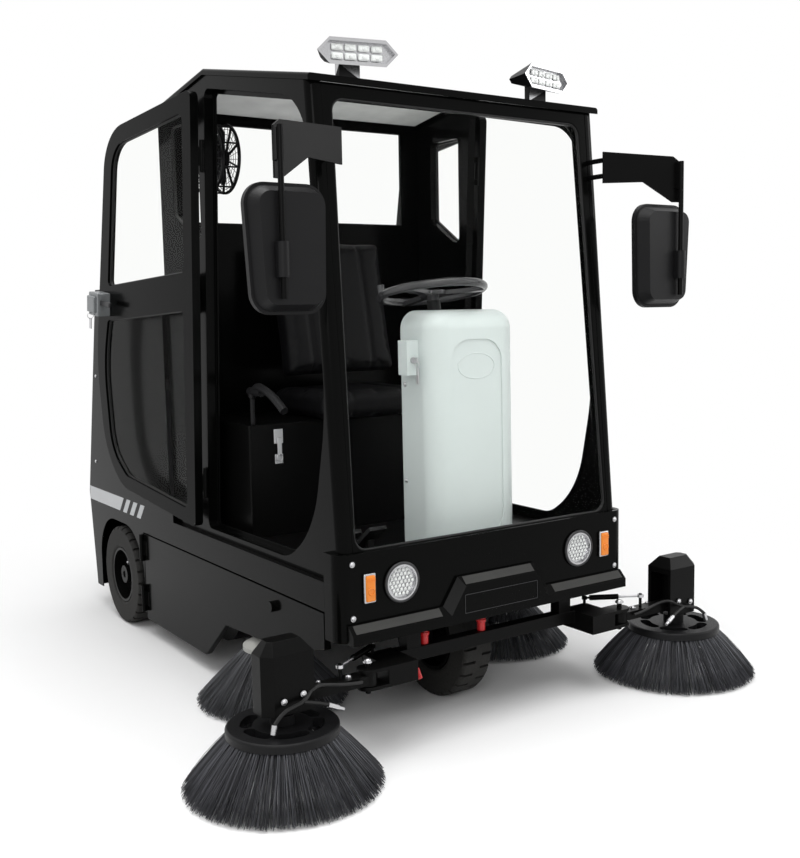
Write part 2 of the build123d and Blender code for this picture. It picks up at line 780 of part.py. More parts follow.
with BuildPart() as cab_side:
    with BuildSketch(side_plane(-cab_half)):
        with BuildLine():
            Polyline(
                (screen_y(floor_top), floor_top), (cab_rear_y, floor_top),
                (cab_rear_y, roof_z(cab_rear_y) - roof_t), (apex_y, apex_z - roof_t),
                front_corner(0, roof_t), close=True,
            )
        make_face()
    extrude(amount=cab_wall)
    mid_z = (floor_top + screen_top_z) / 2
    front_edge = cab_side.edges().sort_by_distance((-cab_half, at_y(screen_y(mid_z)), mid_z))[0]
    fillet(front_edge, radius=pillar_round)
    with BuildSketch(side_plane(-cab_half)):
        add(doorway(0))
    extrude(amount=cab_wall - lip_t, mode=Mode.SUBTRACT)
    with BuildSketch(side_plane(-cab_half)):
        add(doorway(lip_w))
        with BuildLine():
            FilletPolyline(*quarter_points, radius=20, close=True)
        make_face()
    extrude(amount=cab_wall, mode=Mode.SUBTRACT)
    hinge_pins(door_hinges)
save_pair(cab_side.part, "cab_side")

inner_half = cab_half - cab_wall
screen_plane = Plane(
    origin=(0, at_y(screen_y(floor_top)), floor_top), x_dir=(1, 0, 0), z_dir=(0, -1, screen_slope)
)
screen_run = hypot(1, screen_slope)
screen_high = (front_corner(0, roof_t)[1] - floor_top) * screen_run
pane_low = (fascia_top + 2 - floor_top) * screen_run
pane_high = screen_high - 40
pane_foot = inner_half - 10
pane_head = inner_half - 32
pane_inset = 6
with BuildSketch() as screen_pane:
    with BuildLine():
        FilletPolyline(
            (-pane_foot, pane_low), (pane_foot, pane_low), (pane_head, pane_high), (-pane_head, pane_high),
            radius=40, close=True,
        )
    make_face()
with BuildPart() as cab_front:
    with BuildSketch(screen_plane):
        with Locations((0, screen_high / 2)):
            Rectangle(2 * inner_half, screen_high)
        add(screen_pane.sketch, mode=Mode.SUBTRACT)
    extrude(amount=-cab_wall)
save(cab_front.part, "cab_front")

rear_wall_t = 15
with BuildPart() as rear_wall:
    top = roof_z(cab_rear_y) - roof_t
    with Locations((0, at_y(cab_rear_y - rear_wall_t / 2), (floor_top + top) / 2)):
        Box(2 * inner_half, rear_wall_t, top - floor_top)
    with Locations((0, at_y(cab_rear_y), rear_pane_z)):
        Box(rear_pane_w, 4 * rear_wall_t, rear_pane_h, mode=Mode.SUBTRACT)
save(rear_wall.part, "cab_rear_wall")

with BuildPart() as cab_glass:
    with BuildSketch(screen_plane.offset(-pane_inset)):
        add(screen_pane.sketch)
        offset(amount=-seat_gap, mode=Mode.REPLACE)
    extrude(amount=-glass_t)
    with Locations((0, at_y(cab_rear_y - rear_wall_t / 2), rear_pane_z)):
        Box(rear_pane_w - 2 * seat_gap, glass_t, rear_pane_h - 2 * seat_gap)
    for x in (-cab_half + pane_inset, cab_half - pane_inset - glass_t):
        with BuildSketch(side_plane(x)):
            with BuildLine():
                FilletPolyline(*quarter_points, radius=20, close=True)
            make_face()
            offset(amount=-seat_gap, mode=Mode.REPLACE)
        extrude(amount=glass_t)
save(cab_glass.part, "cab_glass")

roof_half = cab_half + 8
roof_front_y = screen_top_y - roof_over
roof_rear_y = cab_rear_y + roof_over
with BuildPart() as roof:
    with BuildSketch(side_plane(-roof_half)):
        with BuildLine():
            Polyline(
                (roof_front_y, roof_z(roof_front_y)), (apex_y, apex_z), (roof_rear_y, roof_z(roof_rear_y)),
                (roof_rear_y, roof_z(roof_rear_y) - roof_t), (apex_y, apex_z - roof_t),
                (roof_front_y, roof_z(roof_front_y) - roof_t), close=True,
            )
        make_face()
    extrude(amount=2 * roof_half)
    upper = roof.faces().filter_by(lambda face: face.normal_at().Z > 0.5)
    fillet(upper.edges().filter_by(lambda edge: abs(edge.center().X) > roof_half - 1), radius=roof_t / 2)
save(roof.part, "roof")

# Cab doors, flush with the cab side when shut, swung open for the rest pose
mid_slope = 0.18
mid_z_hinge = 1421
hinge_side = swing_gap / 2 + stile_hinge
free_side = pillar + swing_gap + stile_free
pane_drop = header + swing_gap + rail_top
pane_foot_z = opening_low + swing_gap + rail_low


def mid_rail(y):
    """Height of the sloping middle rail's top edge."""
    return mid_z_hinge - (hinge_foot_y - y) * mid_slope


def free_y(z):
    """Front edge of the door's glass."""
    return screen_y(z) + free_side


rail_rear_y = hinge_y(mid_z_hinge) - hinge_side
rail_front_y = free_y(mid_z_hinge)
with BuildSketch() as door_panes:
    with BuildLine():
        FilletPolyline(
            (rail_rear_y, mid_rail(rail_rear_y)), rear_corner(hinge_side, pane_drop),
            front_corner(free_side, pane_drop), (rail_front_y, mid_rail(rail_front_y)),
            radius=(20, 25, 120, 20), close=True,
        )
    make_face()
    with BuildLine():
        FilletPolyline(
            (hinge_y(pane_foot_z) - hinge_side, pane_foot_z),
            (rail_rear_y, mid_rail(rail_rear_y) - rail_mid),
            (rail_front_y, mid_rail(rail_front_y) - rail_mid), (free_y(knee_z), knee_z),
            (shin_y + 0.9 * stile_free, shin_z + 0.5 * stile_free), (toe_y + 0.4 * stile_free, pane_foot_z),
            radius=(20, 20, 20, 500, 190, 60), close=True,
        )
    make_face()
door_swing = Axis(door_pin.origin, -door_pin.z_dir)
lock_len = 75
lock_h = 84
lock_t = 50
lock_y = -112
with BuildPart() as shut_door:
    with BuildSketch(side_plane(-cab_half)):
        add(doorway(swing_gap))
        add(door_panes.sketch, mode=Mode.SUBTRACT)
    extrude(amount=door_t)
    with Locations((-cab_half + door_t + lock_t / 2, at_y(lock_y), mid_rail(lock_y) - rail_mid / 2)):
        Box(lock_t, lock_len, lock_h)
    hinge_barrels(door_hinges)
save_pair(shut_door.part.rotate(door_swing, -door_open), "cab_door")
with BuildPart() as shut_glass:
    with BuildSketch(side_plane(-cab_half + (door_t - glass_t) / 2)):
        add(door_panes.sketch)
        offset(amount=-seat_gap, mode=Mode.REPLACE)
    extrude(amount=glass_t)
save_pair(shut_glass.part.rotate(door_swing, -door_open), "door_glass")

# Fascia with its stepped lower band and lamp holes
fascia_end_y = body_front_y - seat_gap
fascia_round = 40
band_half = body_half - 25
band_low_top = 388
band_high_top = 470
band_points = (
    (-band_half, fascia_low), (band_half, fascia_low), (band_half, band_low_top), (205, band_low_top),
    (150, band_high_top), (-150, band_high_top), (-205, band_low_top), (-band_half, band_low_top),
)
front_plane = Plane(origin=(0, at_y(fascia_y), 0), x_dir=(1, 0, 0), z_dir=(0, -1, 0))


def inside_band(point):
    """Whether an edge's middle is on the band's upper outline and not on its foot or ends."""
    return abs(point.X) < band_half - 1 and point.Z > fascia_low + 1


with BuildPart() as fascia:
    with BuildSketch(top_plane(0, 0, fascia_low)):
        with BuildLine():
            FilletPolyline(
                (-body_half, fascia_end_y), (-body_half, fascia_y), (body_half, fascia_y),
                (body_half, fascia_end_y), radius=fascia_round,
            )
            Line((body_half, fascia_end_y), (-body_half, fascia_end_y))
        make_face()
    extrude(amount=fascia_top - fascia_low)
    with BuildSketch(top_plane(0, 0, fascia_low)):
        with BuildLine():
            FilletPolyline(
                (-body_half + sheet, fascia_end_y), (-body_half + sheet, fascia_y + sheet),
                (body_half - sheet, fascia_y + sheet), (body_half - sheet, fascia_end_y),
                radius=fascia_round - sheet,
            )
            Line((body_half - sheet, fascia_end_y), (-body_half + sheet, fascia_end_y))
        make_face()
    extrude(amount=fascia_top - fascia_low - sheet, mode=Mode.SUBTRACT)
    with BuildSketch(side_plane(-cab_half - seat_gap)):
        with BuildLine():
            Polyline(
                (screen_y(floor_top) - seat_gap, floor_top), (0, floor_top), (0, 2 * fascia_top),
                (screen_y(2 * fascia_top) - seat_gap, 2 * fascia_top), close=True,
            )
        make_face()
    extrude(amount=2 * (cab_half + seat_gap), mode=Mode.SUBTRACT)
    with BuildSketch(front_plane):
        with BuildLine():
            Polyline(*band_points, close=True)
        make_face()
    extrude(amount=band_t)
    band_face = fascia.faces().sort_by(Axis.Y)[0]
    chamfer(band_face.edges().filter_by(lambda edge: inside_band(edge.center())), length=band_ledge)
    with BuildSketch(front_plane):
        with Locations((-lamp_x, lamp_z), (lamp_x, lamp_z)):
            Circle(lamp_r)
    extrude(amount=-4 * sheet, mode=Mode.SUBTRACT)
save(fascia.part, "fascia")

indicator_x = body_half - 100
with BuildPart() as indicators:
    with BuildSketch(front_plane):
        with Locations((-indicator_x, lamp_z), (indicator_x, lamp_z)):
            RectangleRounded(36, 81, 8)
    extrude(amount=18)
save(indicators.part, "indicators")

# Roof lamps on slotted brackets
roof_lamp_x = cab_half - 180
roof_lamp_y = -85
roof_lamp_z = roof_z(roof_lamp_y) + 65
roof_lamp_w = 245
roof_lamp_h = 75
roof_lamp_d = 90
roof_lamp_turn = 13
lens_t = 8
lens_inset = 10
lamp_foot_w = 70
lamp_foot_d = 24


def lamp_plane(side):
    """Front face of a roof lamp, turned a little outwards."""
    turn = radians(side * roof_lamp_turn)
    return Plane(
        origin=(side * roof_lamp_x, at_y(roof_lamp_y - roof_lamp_d / 2), roof_lamp_z),
        x_dir=(cos(turn), sin(turn), 0),
        z_dir=(sin(turn), -cos(turn), 0),
    )


def lamp_face(shrink):
    """Six-sided outline of a roof lamp."""
    half = roof_lamp_w / 2 - shrink
    high = roof_lamp_h / 2 - shrink
    with BuildSketch() as face:
        with BuildLine():
            Polyline(
                (-half, 0), (-half + high, high), (half - high, high), (half, 0), (half - high, -high),
                (-half + high, -high), close=True,
            )
        make_face()
    return face.sketch


with BuildPart() as lamp_housings:
    for side in (-1, 1):
        plane = lamp_plane(side)
        with BuildSketch(plane):
            add(lamp_face(0))
        extrude(amount=-roof_lamp_d, taper=16)
        with BuildSketch(plane):
            add(lamp_face(lens_inset))
        extrude(amount=-2 * lens_t, mode=Mode.SUBTRACT)
        foot_front = roof_lamp_y + 4
        foot_rear = foot_front + lamp_foot_d
        with BuildSketch(side_plane(side * roof_lamp_x - lamp_foot_w / 2)):
            with BuildLine():
                Polyline(
                    (foot_front, roof_z(foot_front)), (foot_rear, roof_z(foot_rear)),
                    (foot_rear, roof_lamp_z), (foot_front, roof_lamp_z), close=True,
                )
            make_face()
        extrude(amount=lamp_foot_w)
        with BuildSketch(front_plane.offset(-sheet)):
            with Locations((side * lamp_x, lamp_z)):
                Circle(lamp_r - seat_gap)
        extrude(amount=sheet + lens_t)
        with BuildSketch(front_plane.offset(-sheet / 2)):
            with Locations((side * lamp_x, lamp_z)):
                Circle(lamp_r - lens_inset)
        extrude(amount=sheet + lens_t, mode=Mode.SUBTRACT)
save(lamp_housings.part, "lamp_housings")
with BuildPart() as lamp_lenses:
    for side in (-1, 1):
        with BuildSketch(lamp_plane(side).offset(-lens_t)):
            add(lamp_face(lens_inset + seat_gap))
        extrude(amount=lens_t - 2)
        with BuildSketch(front_plane):
            with Locations((side * lamp_x, lamp_z)):
                Circle(lamp_r - lens_inset - seat_gap)
        extrude(amount=lens_t - 2)
save(lamp_lenses.part, "lamp_lenses")

# Mirrors: slanting arm plate, drop rod and a housing whose glass looks aft
mirror_x = cab_half + 163
mirror_y = -314
mirror_low = 1260
mirror_high = 1598
mirror_w = 244
mirror_d = 56
rod_r = 8
rod_y = -355
stub_x = cab_half - 34
plate_y = -245
plate_yaw = radians(20)
plate_end = 250  # drop rod along the plate
plate_thick = 6
plate_points = (
    (-12, 1763), (plate_end - 12, 1752), (plate_end + 12, 1735), (plate_end + 12, 1604),
    (plate_end - 14, 1604), (0.52 * plate_end, 1668), (-12, 1663),
)
stub_heights = (1738, 1688)
rod_x = stub_x + plate_end * cos(plate_yaw)
arm_plane = Plane(
    origin=(stub_x, at_y(plate_y), 0),
    x_dir=(cos(plate_yaw), -sin(plate_yaw), 0),
    z_dir=(-sin(plate_yaw), -cos(plate_yaw), 0),
)
with BuildPart() as mirror_arms:
    with BuildSketch(arm_plane):
        with BuildLine():
            Polyline(*plate_points, close=True)
        make_face()
    extrude(amount=plate_thick)
    rod_low = mirror_low + 40
    rod_high = plate_points[2][1]
    with Locations((rod_x, at_y(rod_y), (rod_low + rod_high) / 2)):
        Cylinder(rod_r, rod_high - rod_low)
    end_y = plate_y - plate_end * sin(plate_yaw)
    with Locations((rod_x, at_y((end_y + rod_y) / 2), 1688)):
        Box(20, end_y - rod_y, 80)
    for z in stub_heights:
        stub_end = screen_y(z - rod_r)
        with Locations(Location((stub_x, at_y((plate_y + stub_end) / 2), z), (90, 0, 0))):
            Cylinder(rod_r, stub_end - plate_y + plate_thick)
        with Locations((stub_x, at_y(stub_end) + rod_r, z)):
            Box(4 * rod_r, 2 * rod_r, 4 * rod_r, mode=Mode.SUBTRACT)
    mirror(about=Plane.YZ)
save(mirror_arms.part, "mirror_arms")
clamp_low = 1400
mirror_points = (
    (-mirror_w / 2, mirror_high), (mirror_w / 2, mirror_high), (0.42 * mirror_w, mirror_low),
    (-0.47 * mirror_w, mirror_low),
)
mirror_lip = 0.3 * mirror_d
mirror_round = 58
mirror_back = Plane(
    origin=(mirror_x, at_y(mirror_y + mirror_d / 2), 0), x_dir=(1, 0, 0), z_dir=(0, -1, 0)
)
with BuildPart() as mirror_heads:
    with BuildSketch(mirror_back):
        with BuildLine():
            FilletPolyline(*mirror_points, radius=mirror_round, close=True)
        make_face()
    extrude(amount=mirror_lip)
    with BuildSketch(mirror_back.offset(mirror_lip)):
        with BuildLine():
            FilletPolyline(*mirror_points, radius=mirror_round, close=True)
        make_face()
        offset(amount=-8, mode=Mode.REPLACE)
    extrude(amount=mirror_d - mirror_lip, taper=24)
    with Locations((rod_x, at_y((rod_y + mirror_y) / 2), clamp_low)):
        Box(34, mirror_y - rod_y, 90)
    with Locations((rod_x, at_y(rod_y), clamp_low)):
        Cylinder(rod_r + 8, 90)
        Cylinder(rod_r + seat_gap, 900, mode=Mode.SUBTRACT)
    mirror(about=Plane.YZ)
save(mirror_heads.part, "mirror_heads")

# Console round the steering column: a deep cover with rounded edges and a recessed front
console_front_y = -130
console_rear_y = 60
console_right_x = -118
console_left_x = 224
console_top = 1263
console_wall = 8
console_round = 70
recess_w = 200
recess_top = 1171
recess_t = 4
console_x = (console_right_x + console_left_x) / 2
switch_w = 44
switch_h = 108
column_foot_y = -105
wheel_centre_y = 45
wheel_centre_z = 1320
column_r = 22
column_turn = atan2(wheel_centre_y - column_foot_y, wheel_centre_z - floor_top)
wheel_plane = Plane(
    origin=(0, at_y(wheel_centre_y), wheel_centre_z),
    x_dir=(1, 0, 0),
    z_dir=(0, sin(column_turn), cos(column_turn)),
)
column_len = hypot(wheel_centre_y - column_foot_y, wheel_centre_z - floor_top)


def console_block(shrink):
    """Rounded console cover, or the hollow inside it."""
    right = console_right_x + shrink
    left = console_left_x - shrink
    front = console_front_y + shrink
    rear = console_rear_y - shrink
    with BuildPart() as block:
        with BuildSketch(top_plane(0, 0, floor_top)):
            with BuildLine():
                FilletPolyline(
                    (right, rear), (left, rear), (left, front), (right, front),
                    radius=(0, 0, console_round - shrink, console_round - shrink), close=True,
                )
            make_face()
        extrude(amount=console_top - shrink - floor_top)
        crown = block.faces().sort_by(Axis.Z)[-1].edges()
        rear_edge = crown.sort_by(Axis.Y)[-1]
        fillet([edge for edge in crown if edge != rear_edge], radius=console_round - shrink - 10)
    return block.part


recess_plane = Plane(origin=(console_x, at_y(console_front_y), 0), x_dir=(1, 0, 0), z_dir=(0, -1, 0))
with BuildPart() as console:
    add(console_block(0))
    with Locations((console_right_x - switch_w / 2, at_y(-20), recess_top - switch_h / 2)):
        Box(switch_w, 1.2 * switch_w, switch_h)
    add(console_block(console_wall), mode=Mode.SUBTRACT)
    with BuildSketch(recess_plane):
        with Locations((0, (floor_top + 40 + recess_top) / 2)):
            RectangleRounded(recess_w, recess_top - floor_top - 40, 0.35 * recess_w)
    extrude(amount=-recess_t, mode=Mode.SUBTRACT)
    with BuildSketch(wheel_plane):
        Circle(column_r + seat_gap)
    extrude(amount=-column_len, mode=Mode.SUBTRACT)
save(console.part, "console")

# Column, pedals and hand lever
pedals = (
    # x, width
    (-300, 62),
    (-390, 62),
)
with BuildPart() as controls:
    with BuildSketch(wheel_plane.offset(-30)):
        Circle(column_r)
    extrude(amount=-(column_len - 30) + 2 * column_r * sin(column_turn))
    for x, width in pedals:
        with Locations((x, at_y(-20), floor_top + 30)):
            Box(24, 24, 60)
        with Locations(Location((x, at_y(-20), floor_top + 66), (-35, 0, 0))):
            Box(width, 130, 12)
    with Locations((-430, at_y(480), 890 + 60)):
        Cylinder(8, 120)
    with Locations(Location((-430, at_y(450), 890 + 112), (90, 0, 0))):
        Cylinder(14, 90)
save(controls.part, "cab_controls")

# Steering wheel
wheel_r = 185
wheel_grip = 13
with BuildPart() as steering:
    with BuildSketch(Plane(origin=wheel_plane.origin, x_dir=(1, 0, 0), z_dir=-wheel_plane.y_dir)):
        with Locations((wheel_r - wheel_grip, 0)):
            Circle(wheel_grip)
    revolve(axis=Axis(wheel_plane.origin, wheel_plane.z_dir))
    with BuildSketch(wheel_plane.offset(-wheel_grip)):
        Circle(46)
        for turn in (90, 210, 330):
            with Locations(Rotation(0, 0, turn)):
                with Locations(((wheel_r - wheel_grip) / 2, 0)):
                    Rectangle(wheel_r - wheel_grip, 30)
    extrude(amount=wheel_grip)
    with BuildSketch(wheel_plane.offset(-29)):
        Circle(column_r)
    extrude(amount=29)
    with BuildSketch(wheel_plane):
        with PolarLocations(wheel_r - wheel_grip, 1, start_angle=135):
            Circle(wheel_grip - 1)
    extrude(amount=48)
save(steering.part, "steering_wheel")

# Seat box, battery and seat
box_half = cab_half - 80
box_front_y = 450
box_rear_y = cab_rear_y - rear_wall_t
box_top = 890
box_wall = 5
with BuildPart() as seat_box:
    with Locations((0, at_y((box_front_y + box_rear_y) / 2), (floor_top + box_top) / 2)):
        Box(2 * box_half, box_rear_y - box_front_y, box_top - floor_top)
    offset(amount=-box_wall, openings=seat_box.faces().sort_by(Axis.Z)[0])
save(seat_box.part, "seat_box")
with BuildPart() as battery:
    with Locations((0, at_y(670), floor_top + 150)):
        Box(800, 370, 300)
save(battery.part, "battery_pack")
seat_half = 225
back_lean = 12
with BuildPart() as seat:
    with Locations((0, at_y(580), box_top + 50)):
        Box(2 * seat_half, 420, 100)
    fillet(seat.edges(), radius=30)
    with BuildSketch(side_plane(-seat_half)):
        with Locations((705, box_top + 370)):
            Rectangle(110, 560, rotation=-back_lean)
    extrude(amount=2 * seat_half)
save(seat.part, "seat")

# Cab fan on the right-hand frame
fan_y = 695
fan_z = apex_z - 260
fan_x = 112 - cab_half
fan_r = 120
fan_plane = Plane(origin=(fan_x, at_y(fan_y), fan_z), x_dir=(0, 1, 0), z_dir=(1, 0, 0))
guard_wire = 4
fan_strap = 10
fan_strap_run = 140  # from the motor forward to the door pillar
with BuildPart() as guard:
    for depth in (-30, 30):
        with BuildSketch(fan_plane.offset(depth - guard_wire)):
            Circle(fan_r)
            Circle(fan_r - 2 * guard_wire, mode=Mode.SUBTRACT)
            Circle(32)
            with PolarLocations(fan_r / 2, 9):
                Rectangle(fan_r - 4, guard_wire)
        extrude(amount=2 * guard_wire)
    with BuildSketch(fan_plane.offset(-30)):
        with PolarLocations(fan_r - guard_wire, 9):
            Circle(guard_wire - 1)
    extrude(amount=60)
    with BuildSketch(fan_plane.offset(-26)):
        Circle(34)
    extrude(amount=-(inner_half + fan_x - 26))
    with BuildSketch(fan_plane.offset(-30)):
        Circle(5)
    extrude(amount=30)
    with Locations((-inner_half + fan_strap / 2, at_y(fan_y - fan_strap_run / 2), fan_z)):
        Box(fan_strap, fan_strap_run, 3 * fan_strap)
save(guard.part, "fan_guard")
with BuildPart() as blades:
    with BuildSketch(fan_plane.offset(-8)):
        Circle(26)
    extrude(amount=22)
    for turn in (0, 120, 240):
        with BuildSketch(fan_plane):
            with Locations(Rotation(0, 0, turn)):
                with Locations((62, 0)):
                    Ellipse(44, 30)
        extrude(amount=3)
    with BuildSketch(fan_plane.offset(-10)):
        Circle(5 + fit)
    extrude(amount=11, mode=Mode.SUBTRACT)
save(blades.part, "fan_blades")
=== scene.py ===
"""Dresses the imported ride-on sweeper with its finishes, fittings, light and camera."""
from __future__ import annotations

import json
import logging
import math
import random
from dataclasses import dataclass
from enum import Enum
from typing import Iterable, Sequence

import bpy
from bpy.types import Material, Node, NodeSocket, NodeTree, Object
from mathutils import Matrix, Vector

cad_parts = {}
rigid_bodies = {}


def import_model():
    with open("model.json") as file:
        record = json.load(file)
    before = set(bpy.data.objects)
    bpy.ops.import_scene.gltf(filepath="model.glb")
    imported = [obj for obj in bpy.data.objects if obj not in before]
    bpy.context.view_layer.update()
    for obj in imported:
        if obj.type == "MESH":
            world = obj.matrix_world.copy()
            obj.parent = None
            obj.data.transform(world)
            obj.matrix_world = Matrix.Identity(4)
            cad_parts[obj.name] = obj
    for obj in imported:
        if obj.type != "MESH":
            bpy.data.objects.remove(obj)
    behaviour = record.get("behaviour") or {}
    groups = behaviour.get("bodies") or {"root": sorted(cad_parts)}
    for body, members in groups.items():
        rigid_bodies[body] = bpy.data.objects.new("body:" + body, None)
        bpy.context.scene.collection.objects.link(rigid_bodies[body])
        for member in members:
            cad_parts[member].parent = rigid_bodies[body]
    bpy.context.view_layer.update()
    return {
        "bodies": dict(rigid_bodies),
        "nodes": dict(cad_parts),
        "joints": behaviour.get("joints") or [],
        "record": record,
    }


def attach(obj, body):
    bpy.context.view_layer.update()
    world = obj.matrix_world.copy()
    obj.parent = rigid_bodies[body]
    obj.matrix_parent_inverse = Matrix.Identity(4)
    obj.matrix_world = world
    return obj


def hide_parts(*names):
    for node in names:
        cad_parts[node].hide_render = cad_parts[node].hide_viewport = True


LOG = logging.getLogger("sweeper")
Point = tuple[float, float, float]
Colour = tuple[float, float, float]
Outline = tuple[tuple[float, float], ...]
Sized = tuple[Point, Point]

# metres and degrees; a value named BEHIND is in millimetres behind the front wheel's axis
AXLE_Y = -0.6335
BODY_X = 0.560
FASCIA_BEHIND = -280.0
BAND_BEHIND = -314.0
FRONT_BRUSH_X, FRONT_BRUSH_BEHIND = 0.766, -318
SIDE_BRUSH_X, SIDE_BRUSH_BEHIND = 0.490, 280
DOOR_OPEN = 175.0
WELD = 0.00002
FLAT = 0.5
DUST_COLOUR: Colour = (0.24, 0.23, 0.21)
MIRROR = Matrix.Scale(-1.0, 4, (1, 0, 0))


class Side(Enum):
    """The two sides of the machine, as the sign of X."""

    LEFT = 1
    RIGHT = -1

    @property
    def label(self) -> str:
        """Word used in node and body names."""
        return self.name.lower()


def aft(behind_mm: float) -> float:
    """Y in metres of a place given in millimetres behind the front wheel axis."""
    return AXLE_Y + behind_mm / 1000.0


def moved(place: Point, by: Point) -> Point:
    """A place moved along X, Y and Z."""
    return tuple(a + b for a, b in zip(place, by))


def deselect() -> None:
    """Leave edit mode and select nothing."""
    if bpy.context.mode != "OBJECT":
        bpy.ops.object.mode_set(mode="OBJECT")
    bpy.ops.object.select_all(action="DESELECT")


def activate(*pieces: Object) -> Object:
    """Select only these objects and make the first one active.

    Args:
        pieces: Objects to select.

    Returns:
        The active object.
    """
    deselect()
    for piece in pieces:
        piece.select_set(True)
    bpy.context.view_layer.objects.active = pieces[0]
    return pieces[0]


def settle(piece: Object, name: str) -> Object:
    """Put an object's place into its mesh and name it.

    Args:
        piece: Object to settle.
        name: Its final name.

    Returns:
        The same object at the origin.
    """
    activate(piece)
    bpy.ops.object.transform_apply(location=True, rotation=True, scale=True)
    piece.name = name
    piece.data.name = name
    return piece


def apply_modifiers(piece: Object) -> None:
    """Apply every modifier on an object in order.

    Args:
        piece: Mesh object.
    """
    activate(piece)
    for modifier in list(piece.modifiers):
        bpy.ops.object.modifier_apply(modifier=modifier.name)


def bevel(piece: Object, width: float, segments: int = 2, angle: float = 30.0) -> None:
    """Round an object's sharp edges and smooth it.

    Args:
        piece: Mesh object.
        width: Bevel width in metres.
        segments: Rounding segments.
        angle: Edges sharper than this many degrees are rounded.
    """
    rounding = piece.modifiers.new("rounding", "BEVEL")
    rounding.width = width
    rounding.segments = segments
    rounding.limit_method = "ANGLE"
    rounding.angle_limit = math.radians(angle)
    normals = piece.modifiers.new("normals", "WEIGHTED_NORMAL")
    normals.keep_sharp = True
    activate(piece)
    bpy.ops.object.shade_smooth_by_angle(angle=math.radians(angle + 5))
    apply_modifiers(piece)


def join(pieces: Sequence[Object], name: str) -> Object:
    """Join objects into one named mesh.

    Args:
        pieces: Objects to join.
        name: Name of the result.

    Returns:
        The joined object, settled at the origin.
    """
    activate(*pieces)
    if len(pieces) > 1:
        bpy.ops.object.join()
    return settle(bpy.context.view_layer.objects.active, name)


def copy_mesh(piece: Object) -> Object:
    """Copy an object with its own mesh.

    Args:
        piece: Object to copy.

    Returns:
        The new object, linked to the scene.
    """
    twin = piece.copy()
    twin.data = piece.data.copy()
    twin.parent = None
    bpy.context.scene.collection.objects.link(twin)
    return twin


def plain_copy(node: Object, name: str) -> Object:
    """Copy a CAD node without the notes that mark it as one.

    Args:
        node: The CAD node's object.
        name: Name of the copy.

    Returns:
        The settled copy.
    """
    twin = copy_mesh(node)
    for key in list(twin.keys()):
        del twin[key]
    return settle(twin, name)


def mirrored(piece: Object, name: str) -> Object:
    """Mirror a settled object to the other side of the machine.

    Args:
        piece: Object on one side.
        name: Name of the twin.

    Returns:
        The twin with its faces pointing outwards.
    """
    twin = copy_mesh(piece)
    twin.data.transform(MIRROR)
    twin.data.flip_normals()
    return settle(twin, name)


def mesh_from(name: str, points: Iterable[Sequence[float]],
              faces: Iterable[Sequence[int]]) -> Object:
    """Make an object from points and faces.

    Args:
        name: Object name.
        points: Vertex places in metres.
        faces: Vertex numbers of each face.

    Returns:
        The new object.
    """
    mesh = bpy.data.meshes.new(name)
    mesh.from_pydata([tuple(p) for p in points], [], [tuple(f) for f in faces])
    mesh.update()
    piece = bpy.data.objects.new(name, mesh)
    bpy.context.scene.collection.objects.link(piece)
    return piece


def box(size: Point, place: Point, turn: Point = (0, 0, 0)) -> Object:
    """Add a box at its size and place.

    Args:
        size: Full extents in metres.
        place: Centre in metres.
        turn: Rotation about X, Y and Z in degrees.

    Returns:
        The settled box.
    """
    deselect()
    bpy.ops.mesh.primitive_cube_add(size=1, location=place,
                                    rotation=[math.radians(angle) for angle in turn])
    piece = bpy.context.active_object
    piece.scale = size
    return settle(piece, "box")


def rod(radius: float, start: Point, end: Point, sides: int = 16) -> Object:
    """Add a round bar between two points.

    Args:
        radius: Bar radius in metres.
        start: Centre of one end.
        end: Centre of the other end.
        sides: Facets round the bar.

    Returns:
        The settled bar.
    """
    a, b = Vector(start), Vector(end)
    deselect()
    bpy.ops.mesh.primitive_cylinder_add(vertices=sides, radius=radius, depth=(b - a).length,
                                        location=(a + b) / 2)
    piece = bpy.context.active_object
    piece.rotation_mode = "QUATERNION"
    piece.rotation_quaternion = (b - a).to_track_quat("Z", "Y")
    return settle(piece, "rod")


def pipe(points: Sequence[Point], radius: float, name: str, sides: int = 10) -> Object:
    """Add a bent tube along a smooth line.

    Args:
        points: Control points of the line.
        radius: Tube radius in metres.
        name: Object name.
        sides: Facets round the tube.

    Returns:
        The settled tube mesh.
    """
    curve = bpy.data.curves.new(name, "CURVE")
    curve.dimensions = "3D"
    spline = curve.splines.new("NURBS")
    spline.points.add(len(points) - 1)
    for spot, place in zip(spline.points, points):
        spot.co = (*place, 1.0)
    spline.order_u = 3
    spline.use_endpoint_u = True
    curve.resolution_u = 6
    curve.bevel_depth = radius
    curve.bevel_resolution = max(0, sides // 4 - 1)
    curve.use_fill_caps = True
    line = bpy.data.objects.new(name, curve)
    bpy.context.scene.collection.objects.link(line)
    activate(line)
    bpy.ops.object.convert(target="MESH")
    piece = settle(bpy.context.active_object, name)
    activate(piece)
    bpy.ops.object.shade_smooth_by_angle(angle=math.radians(50))
    return piece


def bolt(place: Point, facing: Point, radius: float) -> Object:
    """Add a round-headed bolt on its washer.

    Args:
        place: Point on the surface.
        facing: Direction the head faces.
        radius: Washer radius in metres.

    Returns:
        The settled bolt.
    """
    way = Vector(facing).normalized()
    seat = Vector(place) + way * radius * 0.35
    washer = rod(radius, place, seat)
    deselect()
    bpy.ops.mesh.primitive_uv_sphere_add(segments=14, ring_count=8, radius=radius * 0.78,
                                         location=seat)
    head = bpy.context.active_object
    head.rotation_mode = "QUATERNION"
    head.rotation_quaternion = way.to_track_quat("Z", "Y")
    head.scale = (1, 1, 0.65)
    bpy.ops.object.shade_smooth()
    return join([settle(head, "head"), washer], "bolt")


